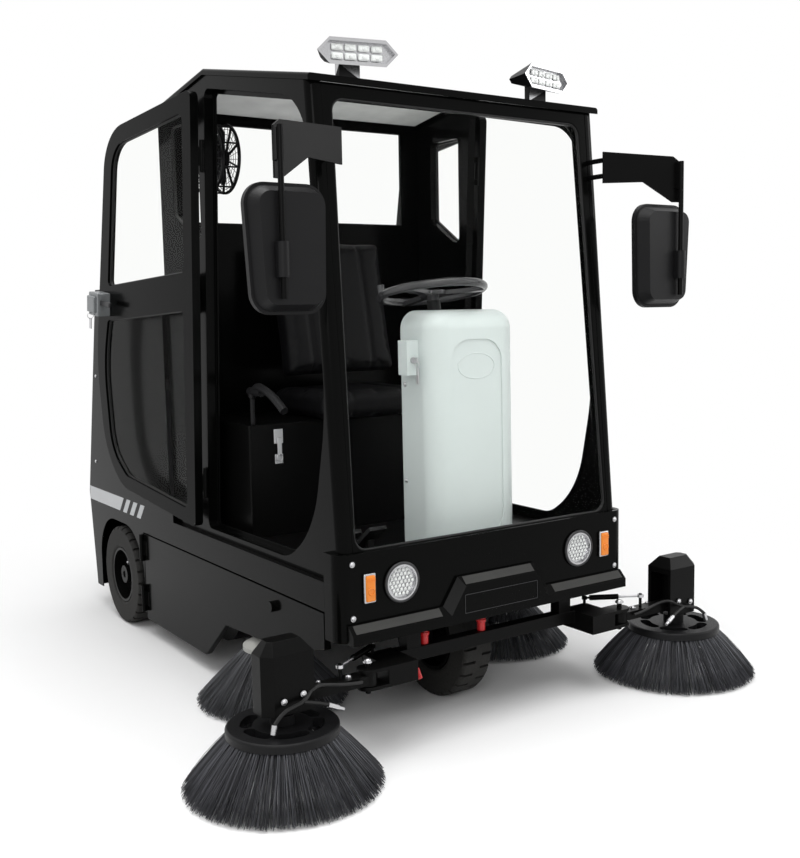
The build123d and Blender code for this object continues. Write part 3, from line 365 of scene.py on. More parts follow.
def dome(place: Point, facing: Point, radius: float) -> Object:
    """Add a small low emitter dome.

    Args:
        place: Centre of its foot.
        facing: Direction it faces.
        radius: Foot radius.

    Returns:
        The settled dome.
    """
    deselect()
    bpy.ops.mesh.primitive_uv_sphere_add(segments=8, ring_count=4, radius=radius, location=place)
    piece = bpy.context.active_object
    piece.rotation_mode = "QUATERNION"
    piece.rotation_quaternion = Vector(facing).to_track_quat("Z", "Y")
    piece.scale = (1, 1, 0.5)
    return settle(piece, "dome")


def hoop(radius: float, wire: float, place: Point, facing: Point, sides: int = 40) -> Object:
    """Add a round wire ring.

    Args:
        radius: Radius to the wire's middle.
        wire: Wire radius.
        place: Centre of the ring.
        facing: Direction of its axis.
        sides: Steps round the ring.

    Returns:
        The settled ring.
    """
    deselect()
    bpy.ops.mesh.primitive_torus_add(major_radius=radius, minor_radius=wire, major_segments=sides,
                                     minor_segments=8, location=place)
    piece = bpy.context.active_object
    piece.rotation_mode = "QUATERNION"
    piece.rotation_quaternion = Vector(facing).to_track_quat("Z", "Y")
    bpy.ops.object.shade_smooth()
    return settle(piece, "hoop")


def plate(outline: Sequence[tuple[float, float]], origin: Point, right: Point, up: Point,
          thick: float) -> Object:
    """Add a flat plate whose outline runs anticlockwise on its front.

    Args:
        outline: Corners along the right and up directions.
        origin: Point on the plate's back.
        right: First direction of the outline.
        up: Second direction of the outline.
        thick: Thickness towards the front.

    Returns:
        The new plate.
    """
    across, rise = Vector(right).normalized(), Vector(up).normalized()
    front = across.cross(rise) * thick
    back = [Vector(origin) + across * u + rise * v for u, v in outline]
    count = len(back)
    faces = [tuple(reversed(range(count))), tuple(range(count, 2 * count))]
    faces += [(i, (i + 1) % count, (i + 1) % count + count, i + count) for i in range(count)]
    return mesh_from("plate", back + [corner + front for corner in back], faces)


def edit_welded(piece: Object) -> None:
    """Open a CAD node's copy in edit mode, its loose triangles merged into flat faces.

    Args:
        piece: Settled copy.
    """
    activate(piece)
    bpy.ops.object.mode_set(mode="EDIT")
    bpy.ops.mesh.select_all(action="SELECT")
    bpy.ops.mesh.remove_doubles(threshold=WELD)
    bpy.ops.mesh.dissolve_limited(angle_limit=math.radians(FLAT))


def add_node(tree: NodeTree, kind: str, inputs: dict, **settings: object) -> Node:
    """Add a shader node, set it and wire its inputs.

    Args:
        tree: Node tree to add to.
        kind: Node type.
        inputs: Socket or plain value of each input, by name or number.
        settings: Properties of the node, which are set first.

    Returns:
        The new node.
    """
    node = tree.nodes.new(kind)
    for name, value in settings.items():
        setattr(node, name, value)
    for key, value in inputs.items():
        if isinstance(value, NodeSocket):
            tree.links.new(value, node.inputs[key])
        else:
            node.inputs[key].default_value = value
    return node


def reckon(tree: NodeTree, operation: str, *values: object) -> NodeSocket:
    """Output of a Math node that works on sockets and plain values."""
    return add_node(tree, "ShaderNodeMath", dict(enumerate(values)), operation=operation).outputs[0]


@dataclass(frozen=True)
class Finish:
    """One surface finish and how its nodes are put together."""

    name: str
    colour: Colour
    roughness: float = 0.4
    metallic: float = 0.0
    specular: float = 0.5
    variation: float = 0.15
    grain: float = 0.0
    grain_size: float = 900.0
    grain_depth: float = 0.001
    dust: float = 0.0
    shade: bool = False
    transmission: float = 0.0
    ior: float = 1.5
    emission: float = 0.0

    def build(self, effects: Effects) -> Material:
        """Make the finish's material.

        Args:
            effects: Shared node groups.

        Returns:
            The new material.
        """
        material = bpy.data.materials.new(self.name)
        material.use_nodes = True
        tree = material.node_tree
        shader = tree.nodes["Principled BSDF"]
        shader.inputs["Metallic"].default_value = self.metallic
        shader.inputs["Specular IOR Level"].default_value = self.specular
        shader.inputs["IOR"].default_value = self.ior
        shader.inputs["Transmission Weight"].default_value = self.transmission
        if self.transmission > 0:
            shader.inputs["Base Color"].default_value = (*self.colour, 1)
            shader.inputs["Roughness"].default_value = self.roughness
            self._let_lamps_through(tree, shader)
        else:
            self._surface(tree, shader, effects)
        return material

    def _surface(self, tree: NodeTree, shader: Node, effects: Effects) -> None:
        """Give an opaque finish its colour, dust, grain and glow.

        Args:
            tree: The material's nodes.
            shader: Its Principled shader.
            effects: Shared node groups.
        """
        place = add_node(tree, "ShaderNodeTexCoord", {}).outputs["Object"]
        mottle = add_node(
            tree, "ShaderNodeGroup",
            {"Colour": (*self.colour, 1), "Variation": self.variation, "Roughness": self.roughness,
             "Dust": self.dust, "Place": place},
            node_tree=effects.mottle)
        colour = mottle.outputs["Colour"]
        # the per-vertex shade colour holds random strand tone and painted shade on the inner
        # bristle rows
        if self.shade:
            shade = add_node(tree, "ShaderNodeAttribute", {}, attribute_name="shade")
            colour = add_node(
                tree, "ShaderNodeMix", {"Factor": 1.0, "A": colour, "B": shade.outputs["Color"]},
                data_type="RGBA", blend_type="MULTIPLY").outputs["Result"]
        tree.links.new(colour, shader.inputs["Base Color"])
        tree.links.new(mottle.outputs["Roughness"], shader.inputs["Roughness"])
        if self.grain > 0:
            grain = add_node(tree, "ShaderNodeGroup", {"Size": self.grain_size, "Place": place},
                             node_tree=effects.grain)
            bump = add_node(tree, "ShaderNodeBump",
                            {"Strength": self.grain, "Distance": self.grain_depth,
                             "Height": grain.outputs["Height"]})
            tree.links.new(bump.outputs["Normal"], shader.inputs["Normal"])
        if self.emission > 0:
            shader.inputs["Emission Color"].default_value = (*self.colour, 1)
            shader.inputs["Emission Strength"].default_value = self.emission

    @staticmethod
    def _let_lamps_through(tree: NodeTree, shader: Node) -> None:
        """Let light from the lamps and from other surfaces pass a pane unbent.

        Args:
            tree: The glass material's nodes.
            shader: Its Principled shader, which the camera sees.
        """
        path = add_node(tree, "ShaderNodeLightPath", {}).outputs
        clear = add_node(tree, "ShaderNodeBsdfTransparent", {})
        passing = reckon(tree, "MAXIMUM", path["Is Shadow Ray"], path["Is Glossy Ray"])
        mix = add_node(tree, "ShaderNodeMixShader",
                       {0: passing, 1: shader.outputs[0], 2: clear.outputs[0]})
        tree.links.new(mix.outputs[0], tree.nodes["Material Output"].inputs["Surface"])


class Effects:
    """Shared shader node groups."""

    def __init__(self) -> None:
        """Build the groups once."""
        self.mottle = self._mottle()
        self.grain = self._grain()

    @staticmethod
    def _group(name: str, inputs: Sequence[tuple[str, str]], outputs: Sequence[tuple[str, str]],
               ) -> tuple[NodeTree, Node, Node]:
        """Make an empty group with named sockets.

        Args:
            name: Group name.
            inputs: Name and socket type of each input.
            outputs: Name and socket type of each output.

        Returns:
            The group tree, its input node and its output node.
        """
        tree = bpy.data.node_groups.new(name, "ShaderNodeTree")
        for label, kind in inputs:
            tree.interface.new_socket(label, in_out="INPUT", socket_type=kind)
        for label, kind in outputs:
            tree.interface.new_socket(label, in_out="OUTPUT", socket_type=kind)
        return tree, tree.nodes.new("NodeGroupInput"), tree.nodes.new("NodeGroupOutput")

    def _mottle(self) -> NodeTree:
        """Slow colour and gloss variation with dust that settles towards the floor.

        Returns:
            The group.
        """
        tree, source, sink = self._group(
            "slow_mottle_and_dust",
            (("Place", "NodeSocketVector"), ("Colour", "NodeSocketColor"),
             ("Variation", "NodeSocketFloat"), ("Roughness", "NodeSocketFloat"),
             ("Dust", "NodeSocketFloat")),
            (("Colour", "NodeSocketColor"), ("Roughness", "NodeSocketFloat")),
        )
        given = source.outputs
        noise = add_node(tree, "ShaderNodeTexNoise",
                         {"Scale": 9.0, "Detail": 6.0, "Vector": given["Place"]})
        swing = reckon(tree, "SUBTRACT", noise.outputs["Fac"], 0.5)
        amount = reckon(tree, "MULTIPLY", swing, given["Variation"])
        gain = reckon(tree, "MULTIPLY_ADD", amount, 2.0, 1.0)
        tint = add_node(tree, "ShaderNodeVectorMath", {0: given["Colour"], "Scale": gain},
                        operation="SCALE")
        height = add_node(tree, "ShaderNodeSeparateXYZ", {0: given["Place"]})
        fall = add_node(tree, "ShaderNodeMapRange",
                        {"From Min": 0.75, "From Max": 0.0, "Value": height.outputs["Z"]})
        speck = add_node(tree, "ShaderNodeTexNoise",
                         {"Scale": 160.0, "Detail": 4.0, "Vector": given["Place"]})
        film = reckon(tree, "MULTIPLY", fall.outputs["Result"], speck.outputs["Fac"])
        dusting = reckon(tree, "MULTIPLY", film, given["Dust"])
        dusty = add_node(
            tree, "ShaderNodeMix",
            {"B": (*DUST_COLOUR, 1), "Factor": dusting, "A": tint.outputs["Vector"]},
            data_type="RGBA")
        tree.links.new(dusty.outputs["Result"], sink.inputs["Colour"])
        spread = reckon(tree, "MULTIPLY_ADD", amount, 0.4, dusting)
        rough = add_node(tree, "ShaderNodeMath", {0: given["Roughness"], 1: spread},
                         operation="ADD", use_clamp=True)
        tree.links.new(rough.outputs[0], sink.inputs["Roughness"])
        return tree

    def _grain(self) -> NodeTree:
        """Fine moulded or sprayed surface grain as a height.

        Returns:
            The group.
        """
        tree, source, sink = self._group(
            "fine_grain",
            (("Place", "NodeSocketVector"), ("Size", "NodeSocketFloat")),
            (("Height", "NodeSocketFloat"),),
        )
        noise = add_node(
            tree, "ShaderNodeTexNoise",
            {"Detail": 3.0, "Vector": source.outputs["Place"], "Scale": source.outputs["Size"]})
        tree.links.new(noise.outputs["Fac"], sink.inputs["Height"])
        return tree


FINISHES = (
    Finish("black_gloss_paint", (0.0016, 0.0017, 0.0016), 0.17, specular=0.05, dust=0.008),
    Finish("black_satin_paint", (0.0022, 0.0022, 0.0022), 0.30, specular=0.07, grain=0.08,
           dust=0.012),
    Finish("black_plastic", (0.006, 0.006, 0.0065), 0.42, specular=0.16, grain=0.25,
           grain_size=1400),
    Finish("grip_rubber", (0.030, 0.030, 0.032), 0.26, variation=0.2),
    Finish("console_plastic", (0.48, 0.525, 0.52), 0.36, specular=0.4, variation=0.03, grain=0.08,
           grain_size=1600),
    Finish("window_glass", (0.93, 0.945, 0.92), 0.0, transmission=1.0, ior=1.06, specular=0.25),
    Finish("tyre_rubber", (0.007, 0.007, 0.007), 0.65, specular=0.15, grain=0.5, grain_size=700,
           dust=0.16),
    Finish("bristle_black", (0.052, 0.053, 0.060), 0.42, specular=0.35, shade=True),
    Finish("bristle_grey", (0.070, 0.072, 0.078), 0.45, specular=0.35, shade=True),
    Finish("hub_grey", (0.36, 0.36, 0.34), 0.6, variation=0.25, grain=0.3, dust=0.2),
    Finish("bright_steel", (0.55, 0.55, 0.56), 0.28, metallic=1.0, variation=0.2, grain=0.1),
    Finish("dark_steel", (0.05, 0.05, 0.052), 0.35, metallic=0.8, variation=0.2, grain=0.1),
    Finish("lamp_chrome", (0.50, 0.50, 0.51), 0.25, metallic=1.0, variation=0.08),
    Finish("lamp_glass", (0.97, 0.98, 0.98), 0.0, transmission=1.0, ior=1.1),
    Finish("amber_lens", (0.78, 0.22, 0.012), 0.2, variation=0.3, emission=0.1),
    Finish("seat_vinyl", (0.004, 0.004, 0.0045), 0.5, specular=0.12, grain=0.4, grain_size=600),
    Finish("battery_case", (0.02, 0.02, 0.02), 0.5),
    Finish("bin_paint", (0.02, 0.02, 0.022), 0.5, dust=0.4),
    Finish("lock_grey", (0.20, 0.21, 0.215), 0.38, metallic=0.3, grain=0.2, specular=0.4),
    Finish("red_handle", (0.50, 0.008, 0.010), 0.35),
    Finish("stripe_grey", (0.46, 0.47, 0.48), variation=0.06),
    Finish("grit_strip", (0.030, 0.030, 0.028), 0.8, variation=0.6, grain=1.0, grain_size=500),
    # the headliner's emission is a painted glow: the lining is no lamp
    Finish("headliner", (0.58, 0.59, 0.58), 0.6, variation=0.35, grain=0.5, grain_size=90,
           emission=0.15),
    Finish("mirror_silver", (0.82, 0.83, 0.84), 0.03, metallic=1.0, variation=0.0),
    Finish("led_chip", (0.55, 0.56, 0.55), 0.25, specular=0.6),
    Finish("black_rubber", (0.008, 0.008, 0.008), 0.5, specular=0.3),
)
FINISH_OF_SLOT = {
    "black_paint": "black_gloss_paint", "black_plastic": "black_plastic",
    "console_plastic": "console_plastic", "clear_glass": "window_glass",
    "tyre_rubber": "tyre_rubber", "black_bristle": "bristle_black",
    "grey_bristle": "bristle_grey", "hub_grey": "hub_grey", "bright_steel": "bright_steel",
    "lamp_chrome": "lamp_chrome", "lamp_glass": "lamp_glass", "amber_lens": "amber_lens",
    "seat_vinyl": "seat_vinyl", "battery_case": "battery_case", "bin_paint": "bin_paint",
}
SLOT_OF_FINISH = {finish: slot for slot, finish in FINISH_OF_SLOT.items()}
SLOT_OF_FINISH["black_satin_paint"] = "black_paint"


class Finishes:
    """The machine's materials, each made when it is first asked for."""

    def __init__(self) -> None:
        """Start with no material made."""
        self.effects = Effects()
        self._listed = {finish.name: finish for finish in FINISHES}
        self._made: dict[str, Material] = {}

    def get(self, name: str) -> Material:
        """Material of a finish.

        Args:
            name: Finish name.

        Returns:
            The material, made once.
        """
        if name not in self._made:
            self._made[name] = self._listed[name].build(self.effects)
        return self._made[name]

    def dress(self, piece: Object, name: str) -> Object:
        """Give an object one finish all over.

        Args:
            piece: Object to dress.
            name: Finish name.

        Returns:
            The same object.
        """
        piece.data.materials.clear()
        piece.data.materials.append(self.get(name))
        return piece


@dataclass
class Workshop:
    """What every sub-assembly needs: the frame and the finishes."""

    frame: dict
    finishes: Finishes

    def fit(self, piece: Object, body: str, finish: str, *nodes: str) -> Object:
        """Dress a piece and let it ride on its body.

        Args:
            piece: Settled object.
            body: Body it moves with.
            finish: Finish name.
            nodes: CAD nodes it stands for.

        Returns:
            The same object.
        """
        self.finishes.dress(piece, finish)
        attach(piece, body)
        if nodes:
            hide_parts(*nodes)
        LOG.info("%s rides on %s", piece.name, body)
        return piece


@dataclass
class CadDress:
    """Finishes on the CAD nodes, and rounded copies of those with bare machined edges."""

    shop: Workshop
    satin: tuple[str, ...] = (
        "chassis_frame", "front_beam", "steering_fork", "rear_axle", "roller_hood",
        "brush_arm_left", "brush_arm_right", "side_brush_motors", "floor_pan", "seat_box",
        "front_rim", "rear_left_rim", "rear_right_rim", "mirror_arms",
    )
    rounding: tuple[tuple[float, tuple[str, ...]], ...] = (
        (0.0012, ("side_panel_left", "side_panel_right")),
        (0.0015, ("console", "mirror_arms", "rear_shell")),
        (0.002, ("front_beam",)),
        (0.0025, ("brush_arm_left", "brush_arm_right")),
        (0.003, ("fascia", "cab_side_left", "cab_side_right", "cab_front", "rear_door")),
        (0.004, ("cab_door_left", "cab_door_right")),
        (0.006, ("seat_box",)),
    )

    def build(self) -> None:
        """Dress every node and replace those that need rounded edges."""
        record = self.shop.frame["record"]
        bodies = {node: body for body, nodes in record["behaviour"]["bodies"].items()
                  for node in nodes}
        widths = {node: width for width, nodes in self.rounding for node in nodes}
        for entry in record["subparts"]:
            node = entry["node"]
            finish = self._finish(node, entry["material_slot"])
            source = self.shop.frame["nodes"][node]
            self.shop.finishes.dress(source, finish)
            if node in widths:
                self.shop.fit(self._rounded(source, widths[node]), bodies[node], finish, node)

    def _finish(self, node: str, slot: str) -> str:
        """Finish of a CAD node.

        Args:
            node: Node name.
            slot: The record's material slot.

        Returns:
            The finish's name.
        """
        if node == "steering_wheel":
            return "grip_rubber"
        return "black_satin_paint" if node in self.satin else FINISH_OF_SLOT[slot]

    @staticmethod
    def _rounded(source: Object, width: float) -> Object:
        """Copy a CAD node and round its edges.

        Args:
            source: The CAD node's object.
            width: Rounding in metres.

        Returns:
            The rounded copy.
        """
        piece = plain_copy(source, f"{source.name}_finished")
        edit_welded(piece)
        bpy.ops.object.mode_set(mode="OBJECT")
        bevel(piece, width)
        return piece


@dataclass
class FlaredBrush:
    """A ring of separate bristles that flare from a disc to the floor."""

    side: Side
    place: str
    finish: str
    x: float
    behind_mm: float
    root_r: float
    root_z: float
    tip_r: float
    tip_z: float = 0.005
    rows: int = 4
    row_gap: float = 0.009
    tufts: int = 62
    per_tuft: int = 38
    strand_r: float = 0.0011
    strand_steps: int = 4
    strand_sides: int = 3
    seed: int = 5

    def build(self, shop: Workshop) -> None:
        """Model the bristles and stand them in for the CAD cone.

        Args:
            shop: The frame and the finishes.
        """
        label = self.side.label
        chance = random.Random(self.seed)
        points: list[Point] = []
        faces: list[tuple[int, ...]] = []
        tone_and_painted_shade: list[float] = []
        for tuft in range(self.tufts):
            bright = chance.uniform(0.7, 1.3)
            for number in range(self.per_tuft):
                row = number % self.rows
                off = chance.uniform(-0.5, 0.5)
                self._strand(points, faces, chance, (tuft, off), row)
                # random tone per tuft and per strand, times painted shade that darkens each row
                # further inwards by 0.1
                tone_and_painted_shade.append(bright * chance.uniform(0.4, 1.7) * (1.0 - 0.1 * row))
        piece = mesh_from(f"{self.place}_bristle_strands_{label}", points, faces)
        tint = piece.data.color_attributes.new("shade", "FLOAT_COLOR", "POINT")
        values: list[float] = []
        for shade in tone_and_painted_shade:
            values.extend((shade, shade, shade, 1.0) * self.strand_steps * self.strand_sides)
        tint.data.foreach_set("color", values)
        activate(piece)
        bpy.ops.object.shade_smooth()
        shop.fit(piece, f"{self.place}_brush_{label}", self.finish,
                 f"{self.place}_bristles_{label}")

    def _strand(self, points: list[Point], faces: list[tuple[int, ...]], chance: random.Random,
                spot: tuple[int, float], row: int) -> None:
        """Add one tapering strand.

        Args:
            points: Vertex list to extend.
            faces: Face list to extend.
            chance: Source of the small differences.
            spot: Tuft number and the strand's place across the tuft.
            row: Row number, counted inwards.
        """
        cx, cy = self.side.value * self.x, aft(self.behind_mm)
        base, sides, steps = len(points), self.strand_sides, self.strand_steps
        root_r = self.root_r - row * self.row_gap
        tip_r = self.tip_r - row * self.row_gap * 0.7 + chance.uniform(-0.010, 0.0)
        tip_z = self.tip_z + chance.uniform(0.0, 0.012)
        pitch = 2 * math.pi / self.tufts
        angle = (spot[0] + 0.72 * spot[1] + 0.25 * row) * pitch
        twist = 0.5 * spot[1] * pitch + chance.uniform(-0.02, 0.02)
        sag = chance.uniform(0.0, 0.008)
        for step in range(steps):
            t = step / (steps - 1)
            r = root_r + (tip_r - root_r) * t
            z = self.root_z + (tip_z - self.root_z) * t + sag * math.sin(math.pi * t)
            thick = self.strand_r * (1.0 - 0.25 * t)
            for corner in range(sides):
                spin = 2 * math.pi * corner / sides
                rr = r + thick * math.cos(spin)
                bearing = angle + twist * t + thick * math.sin(spin) / max(rr, 0.02)
                points.append((cx + rr * math.cos(bearing), cy + rr * math.sin(bearing),
                               z + 0.5 * thick * math.cos(spin)))
        for step in range(steps - 1):
            for corner in range(sides):
                a = base + step * sides + corner
                b = base + step * sides + (corner + 1) % sides
                faces.append((a, a + sides, b + sides, b))
        end = base + (steps - 1) * sides
        faces.append(tuple(end + corner for corner in (0, *range(sides - 1, 0, -1))))


@dataclass
class CabDoors:
    """Grey lock cases, latch levers and hanging keys on both doors."""

    shop: Workshop
    pin: Point = (-0.5505, aft(629), 0.495)
    lean: Point = (0, -0.065, 1)
    lock: Point = (-0.485, aft(-112), 1.2226)
    edge: float = 0.004
    case: Sized = ((0.054, 0.079, 0.088), (0, 0, 0))
    cap: Sized = ((0.014, 0.060, 0.062), (0.032, 0, 0))
    tongue: Sized = ((0.022, 0.020, 0.030), (0, -0.046, 0))
    lever: Sized = ((0.014, 0.080, 0.020), (0.010, 0.078, 0.008))
    key: Sized = ((0.002, 0.018, 0.040), (0.041, 0.01, -0.072))
    ring_r: float = 0.012
    ring_wire: float = 0.0012
    ring_off: Point = (0.041, 0.01, -0.042)

    def build(self) -> None:
        """Fit both doors, drawn on the shut right-hand one."""
        for side in Side:
            blocks = [box(size, moved(self.lock, off))
                      for size, off in (self.case, self.cap, self.tongue, self.lever)]
            for piece in blocks:
                bevel(piece, self.edge)
            ring = hoop(self.ring_r, self.ring_wire, moved(self.lock, self.ring_off), (0, 1, 0), 20)
            key = box(self.key[0], moved(self.lock, self.key[1]))
            self._hang(join(blocks[:2], f"lock_case_{side.label}"), side, "lock_grey")
            self._hang(join(blocks[2:], f"lock_lever_{side.label}"), side, "dark_steel")
            self._hang(join([ring, key], f"door_keys_{side.label}"), side, "bright_steel")

    def _hang(self, piece: Object, side: Side, finish: str) -> None:
        """Swing a piece to the open door and mirror it for the left-hand side.

        Args:
            piece: Settled object on the shut right-hand door.
            side: Door it belongs to.
            finish: Finish name.
        """
        pin = Vector(self.pin)
        turn = Matrix.Rotation(math.radians(-DOOR_OPEN), 4, Vector(self.lean).normalized())
        piece.data.transform(Matrix.Translation(pin) @ turn @ Matrix.Translation(-pin))
        if side is Side.LEFT:
            piece.data.transform(MIRROR)
            piece.data.flip_normals()
        self.shop.fit(piece, f"door_{side.label}", finish)


@dataclass
class FrontEnd:
    """Headlamps, indicators, grit strips, bare plate and bolts, and the beam's red knobs."""

    shop: Workshop
    lamp_x: float = 0.348
    lamp_z: float = 0.485
    lens_r: float = 0.0475
    rim_r: float = 0.056
    rim_wire: float = 0.005
    emitter_r: float = 0.0056
    emitter_pitch: float = 0.0132
    emitter_reach: int = 4
    indicator_x: float = 0.460
    indicator_frame: Point = (0.040, 0.010, 0.086)
    indicator_lens: Point = (0.031, 0.012, 0.076)
    lens_front: float = 0.0165
    lens_ring_r: float = 0.010
    lens_ring_wire: float = 0.0022
    lens_rib: Point = (0.026, 0.002, 0.0025)
    strip_edges: tuple[float, float] = (0.006, 0.034)
    strip_thick: float = 0.0012
    ledges: tuple[Point, ...] = (
        # middle x, length, height of the ledge's top
        (-0.372, 0.300, 0.388), (0.0, 0.270, 0.470), (0.372, 0.300, 0.388),
    )
    plate_half: float = 0.142
    plate_z: tuple[float, float] = (0.362, 0.418)
    plate_line: float = 0.0016
    bolts: tuple[tuple, ...] = (
        # x, millimetres behind the axle, heights, facing, radius
        (0.514, FASCIA_BEHIND, (0.560, 0.404), (0, -1, 0), 0.0085),
        (0.496, -323, (0.287,), (0, 0, 1), 0.014),
        (0.423, -234, (0.306,), (0, 0, 1), 0.008),
    )
    beam_behind: float = -250
    knobs_x: tuple[float, float] = (-0.249, -0.032)
    valve_x: float = -0.281

    def build(self) -> None:
        """Fit the front of the machine."""
        self._headlamps()
        self._indicators()
        self._band()
        self._bolts()
        self._beam()

    def _headlamps(self) -> None:
        """Emitters in rows behind a clear cover, inside a dark rim."""
        face = aft(FASCIA_BEHIND)
        chips, rims = [], []
        grid = range(-self.emitter_reach, self.emitter_reach + 1)
        for side in Side:
            x, z = side.value * self.lamp_x, self.lamp_z
            for row in grid:
                for column in grid:
                    u = (column + 0.5 * (row % 2)) * self.emitter_pitch
                    v = row * self.emitter_pitch * 0.87
                    if math.hypot(u, v) < self.lens_r - 0.006:
                        chips.append(dome((x + u, face, z + v), (0, -1, 0), self.emitter_r))
            rims.append(hoop(self.rim_r, self.rim_wire, (x, face - 0.005, z), (0, -1, 0), 48))
        self.shop.fit(join(chips, "headlamp_emitters"), "chassis", "led_chip")
        self.shop.fit(join(rims, "headlamp_rims"), "chassis", "dark_steel")

    def _indicators(self) -> None:
        """Amber lens with a moulded ring, in a bright frame."""
        face = aft(FASCIA_BEHIND)
        front = face - self.lens_front
        frames, lenses = [], []
        for side in Side:
            x, z = side.value * self.indicator_x, self.lamp_z
            frame = box(self.indicator_frame, (x, face - 0.005, z))
            bevel(frame, 0.004, 3)
            frames.append(frame)
            lens = box(self.indicator_lens, (x, face - 0.010, z))
            bevel(lens, 0.005, 3)
            ring = hoop(self.lens_ring_r, self.lens_ring_wire, (x, front, z - 0.008),
                        (0, -1, 0), 20)
            lenses += [lens, ring]
            lenses += [box(self.lens_rib, (x, front, z + 0.022 + 0.006 * rib)) for rib in range(2)]
        self.shop.fit(join(lenses, "indicator_lenses"), "chassis", "amber_lens", "indicators")
        self.shop.fit(join(frames, "indicator_frames"), "chassis", "lamp_chrome")

    def _band(self) -> None:
        """Grit strips on the sloping ledge and a bare bordered plate in the middle."""
        face = aft(BAND_BEHIND)
        low, high = self.strip_edges
        strips = []
        for x, length, top in self.ledges:
            half = length / 2
            outline = ((-half, low), (half, low), (half, high), (-half, high))
            strips.append(plate(outline, (x, face, top - 0.026), (1, 0, 0), (0, 1, 1),
                                self.strip_thick))
        self.shop.fit(join(strips, "ledge_grit_strips"), "chassis", "grit_strip")
        half, line = self.plate_half, self.plate_line
        low, high = self.plate_z
        edges = [box((2 * half, 0.002, line), (0.0, face - 0.0008, z)) for z in (low, high)]
        edges += [box((line, 0.002, high - low), (x, face - 0.0008, (low + high) / 2))
                  for x in (-half, half)]
        self.shop.fit(join(edges, "bare_plate_border"), "chassis", "dark_steel")

    def _bolts(self) -> None:
        """Bright bolts at the fascia's corners and on the clevises."""
        bolts = [bolt((side.value * x, aft(behind), z), facing, radius)
                 for x, behind, heights, facing, radius in self.bolts
                 for side in Side for z in heights]
        self.shop.fit(join(bolts, "front_bolts"), "chassis", "bright_steel")

    def _beam(self) -> None:
        """Red knobs on the beam and the red valve lever under it."""
        y = aft(self.beam_behind)
        red = []
        for x in self.knobs_x:
            red.append(rod(0.013, (x, y, 0.274), (x, y, 0.318)))
            red.append(rod(0.016, (x, y, 0.302), (x, y, 0.312)))
        x = self.valve_x
        red.append(rod(0.006, (x, y, 0.236), (x, y, 0.172)))
        red.append(rod(0.008, (x, y - 0.004, 0.205), (x, y - 0.022, 0.178)))
        for piece in red:
            bevel(piece, 0.002)
        self.shop.fit(join(red, "red_knobs"), "chassis", "red_handle")


@dataclass
class BrushArms:
    """Spray pipes, nozzles and bolts on the motor covers and arms.

    Their places are measured from the right-hand motor's axis and the floor.
    """

    shop: Workshop
    axis: Point = (-FRONT_BRUSH_X, aft(FRONT_BRUSH_BEHIND), 0)
    pipes: tuple[tuple[float, tuple[Point, ...]], ...] = (
        # radius, bends
        (0.0055, ((0.060, -0.050, 0.262), (0.035, -0.068, 0.246), (0, -0.070, 0.240),
                  (-0.040, -0.076, 0.232), (-0.064, -0.080, 0.208))),
        (0.0055, ((0.030, -0.069, 0.244), (0.070, -0.076, 0.236), (0.096, -0.082, 0.226))),
        (0.005, ((0.060, -0.050, 0.262), (0.080, -0.048, 0.272), (0.110, -0.030, 0.264),
                 (0.190, -0.036, 0.248), (0.232, -0.036, 0.246))),
    )
    nozzles: tuple[tuple[float, Point, Point], ...] = (
        # radius, start, end
        (0.0075, (-0.064, -0.080, 0.208), (-0.070, -0.082, 0.184)),
        (0.0075, (0.096, -0.082, 0.226), (0.124, -0.088, 0.214)),
        (0.005, (0.124, -0.088, 0.214), (0.138, -0.091, 0.208)),
    )
    bolts: tuple[tuple[Point, Point, float], ...] = (
        # place, facing, radius
        ((-0.022, -0.054, 0.252), (0, -1, 0), 0.009),
        ((0.036, -0.054, 0.262), (0, -1, 0), 0.009),
        ((0.206, -0.006, 0.256), (0, 0, 1), 0.010),
        ((0.120, 0.012, 0.256), (0, 0, 1), 0.007),
    )

    def build(self) -> None:
        """Fit both arms, drawn on the right-hand one."""
        pipes = [pipe([moved(self.axis, bend) for bend in bends], radius, "spray_pipe")
                 for radius, bends in self.pipes]
        tips = [rod(radius, moved(self.axis, start), moved(self.axis, end))
                for radius, start, end in self.nozzles]
        tips += [bolt(moved(self.axis, place), facing, radius)
                 for place, facing, radius in self.bolts]
        pipe_right = join(pipes, "spray_pipes_right")
        tips_right = join(tips, "spray_nozzles_right")
        self.shop.fit(mirrored(pipe_right, "spray_pipes_left"), "arm_left", "black_rubber")
        self.shop.fit(mirrored(tips_right, "spray_nozzles_left"), "arm_left", "bright_steel")
        self.shop.fit(pipe_right, "arm_right", "black_rubber")
        self.shop.fit(tips_right, "arm_right", "bright_steel")


@dataclass
class Mirrors:
    """Silvered glass on the aft faces of the mirror heads."""

    shop: Workshop
    back: Point = (0.703, aft(-286), 0)
    corners: Outline = ((-0.106, 1.586), (-0.084, 1.272), (0.100, 1.272), (0.106, 1.586))
    corner_cut: float = 0.046
    corner_steps: int = 6
    glass_thick: float = 0.002

    def build(self) -> None:
        """Fit both mirrors, drawn on the left-hand one."""
        glass = plate(self._rounded(), self.back, (-1, 0, 0), (0, 0, 1), self.glass_thick)
        settle(glass, "mirror_glass_left")
        self.shop.fit(mirrored(glass, "mirror_glass_right"), "chassis", "mirror_silver")
        self.shop.fit(glass, "chassis", "mirror_silver")

    def _rounded(self) -> list[tuple[float, float]]:
        """Round the outline's corners.

        Returns:
            The outline with a short curve at each corner.
        """
        made = []
        for number, corner in enumerate(self.corners):
            here = Vector(corner)
            ends = []
            for other in (self.corners[number - 1], self.corners[(number + 1) % len(self.corners)]):
                ends.append(here + (Vector(other) - here).normalized() * self.corner_cut)
            for step in range(self.corner_steps + 1):
                t = step / self.corner_steps
                curve = ends[0] * (1 - t) ** 2 + here * 2 * t * (1 - t) + ends[1] * t * t
                made.append(tuple(curve))
        return made


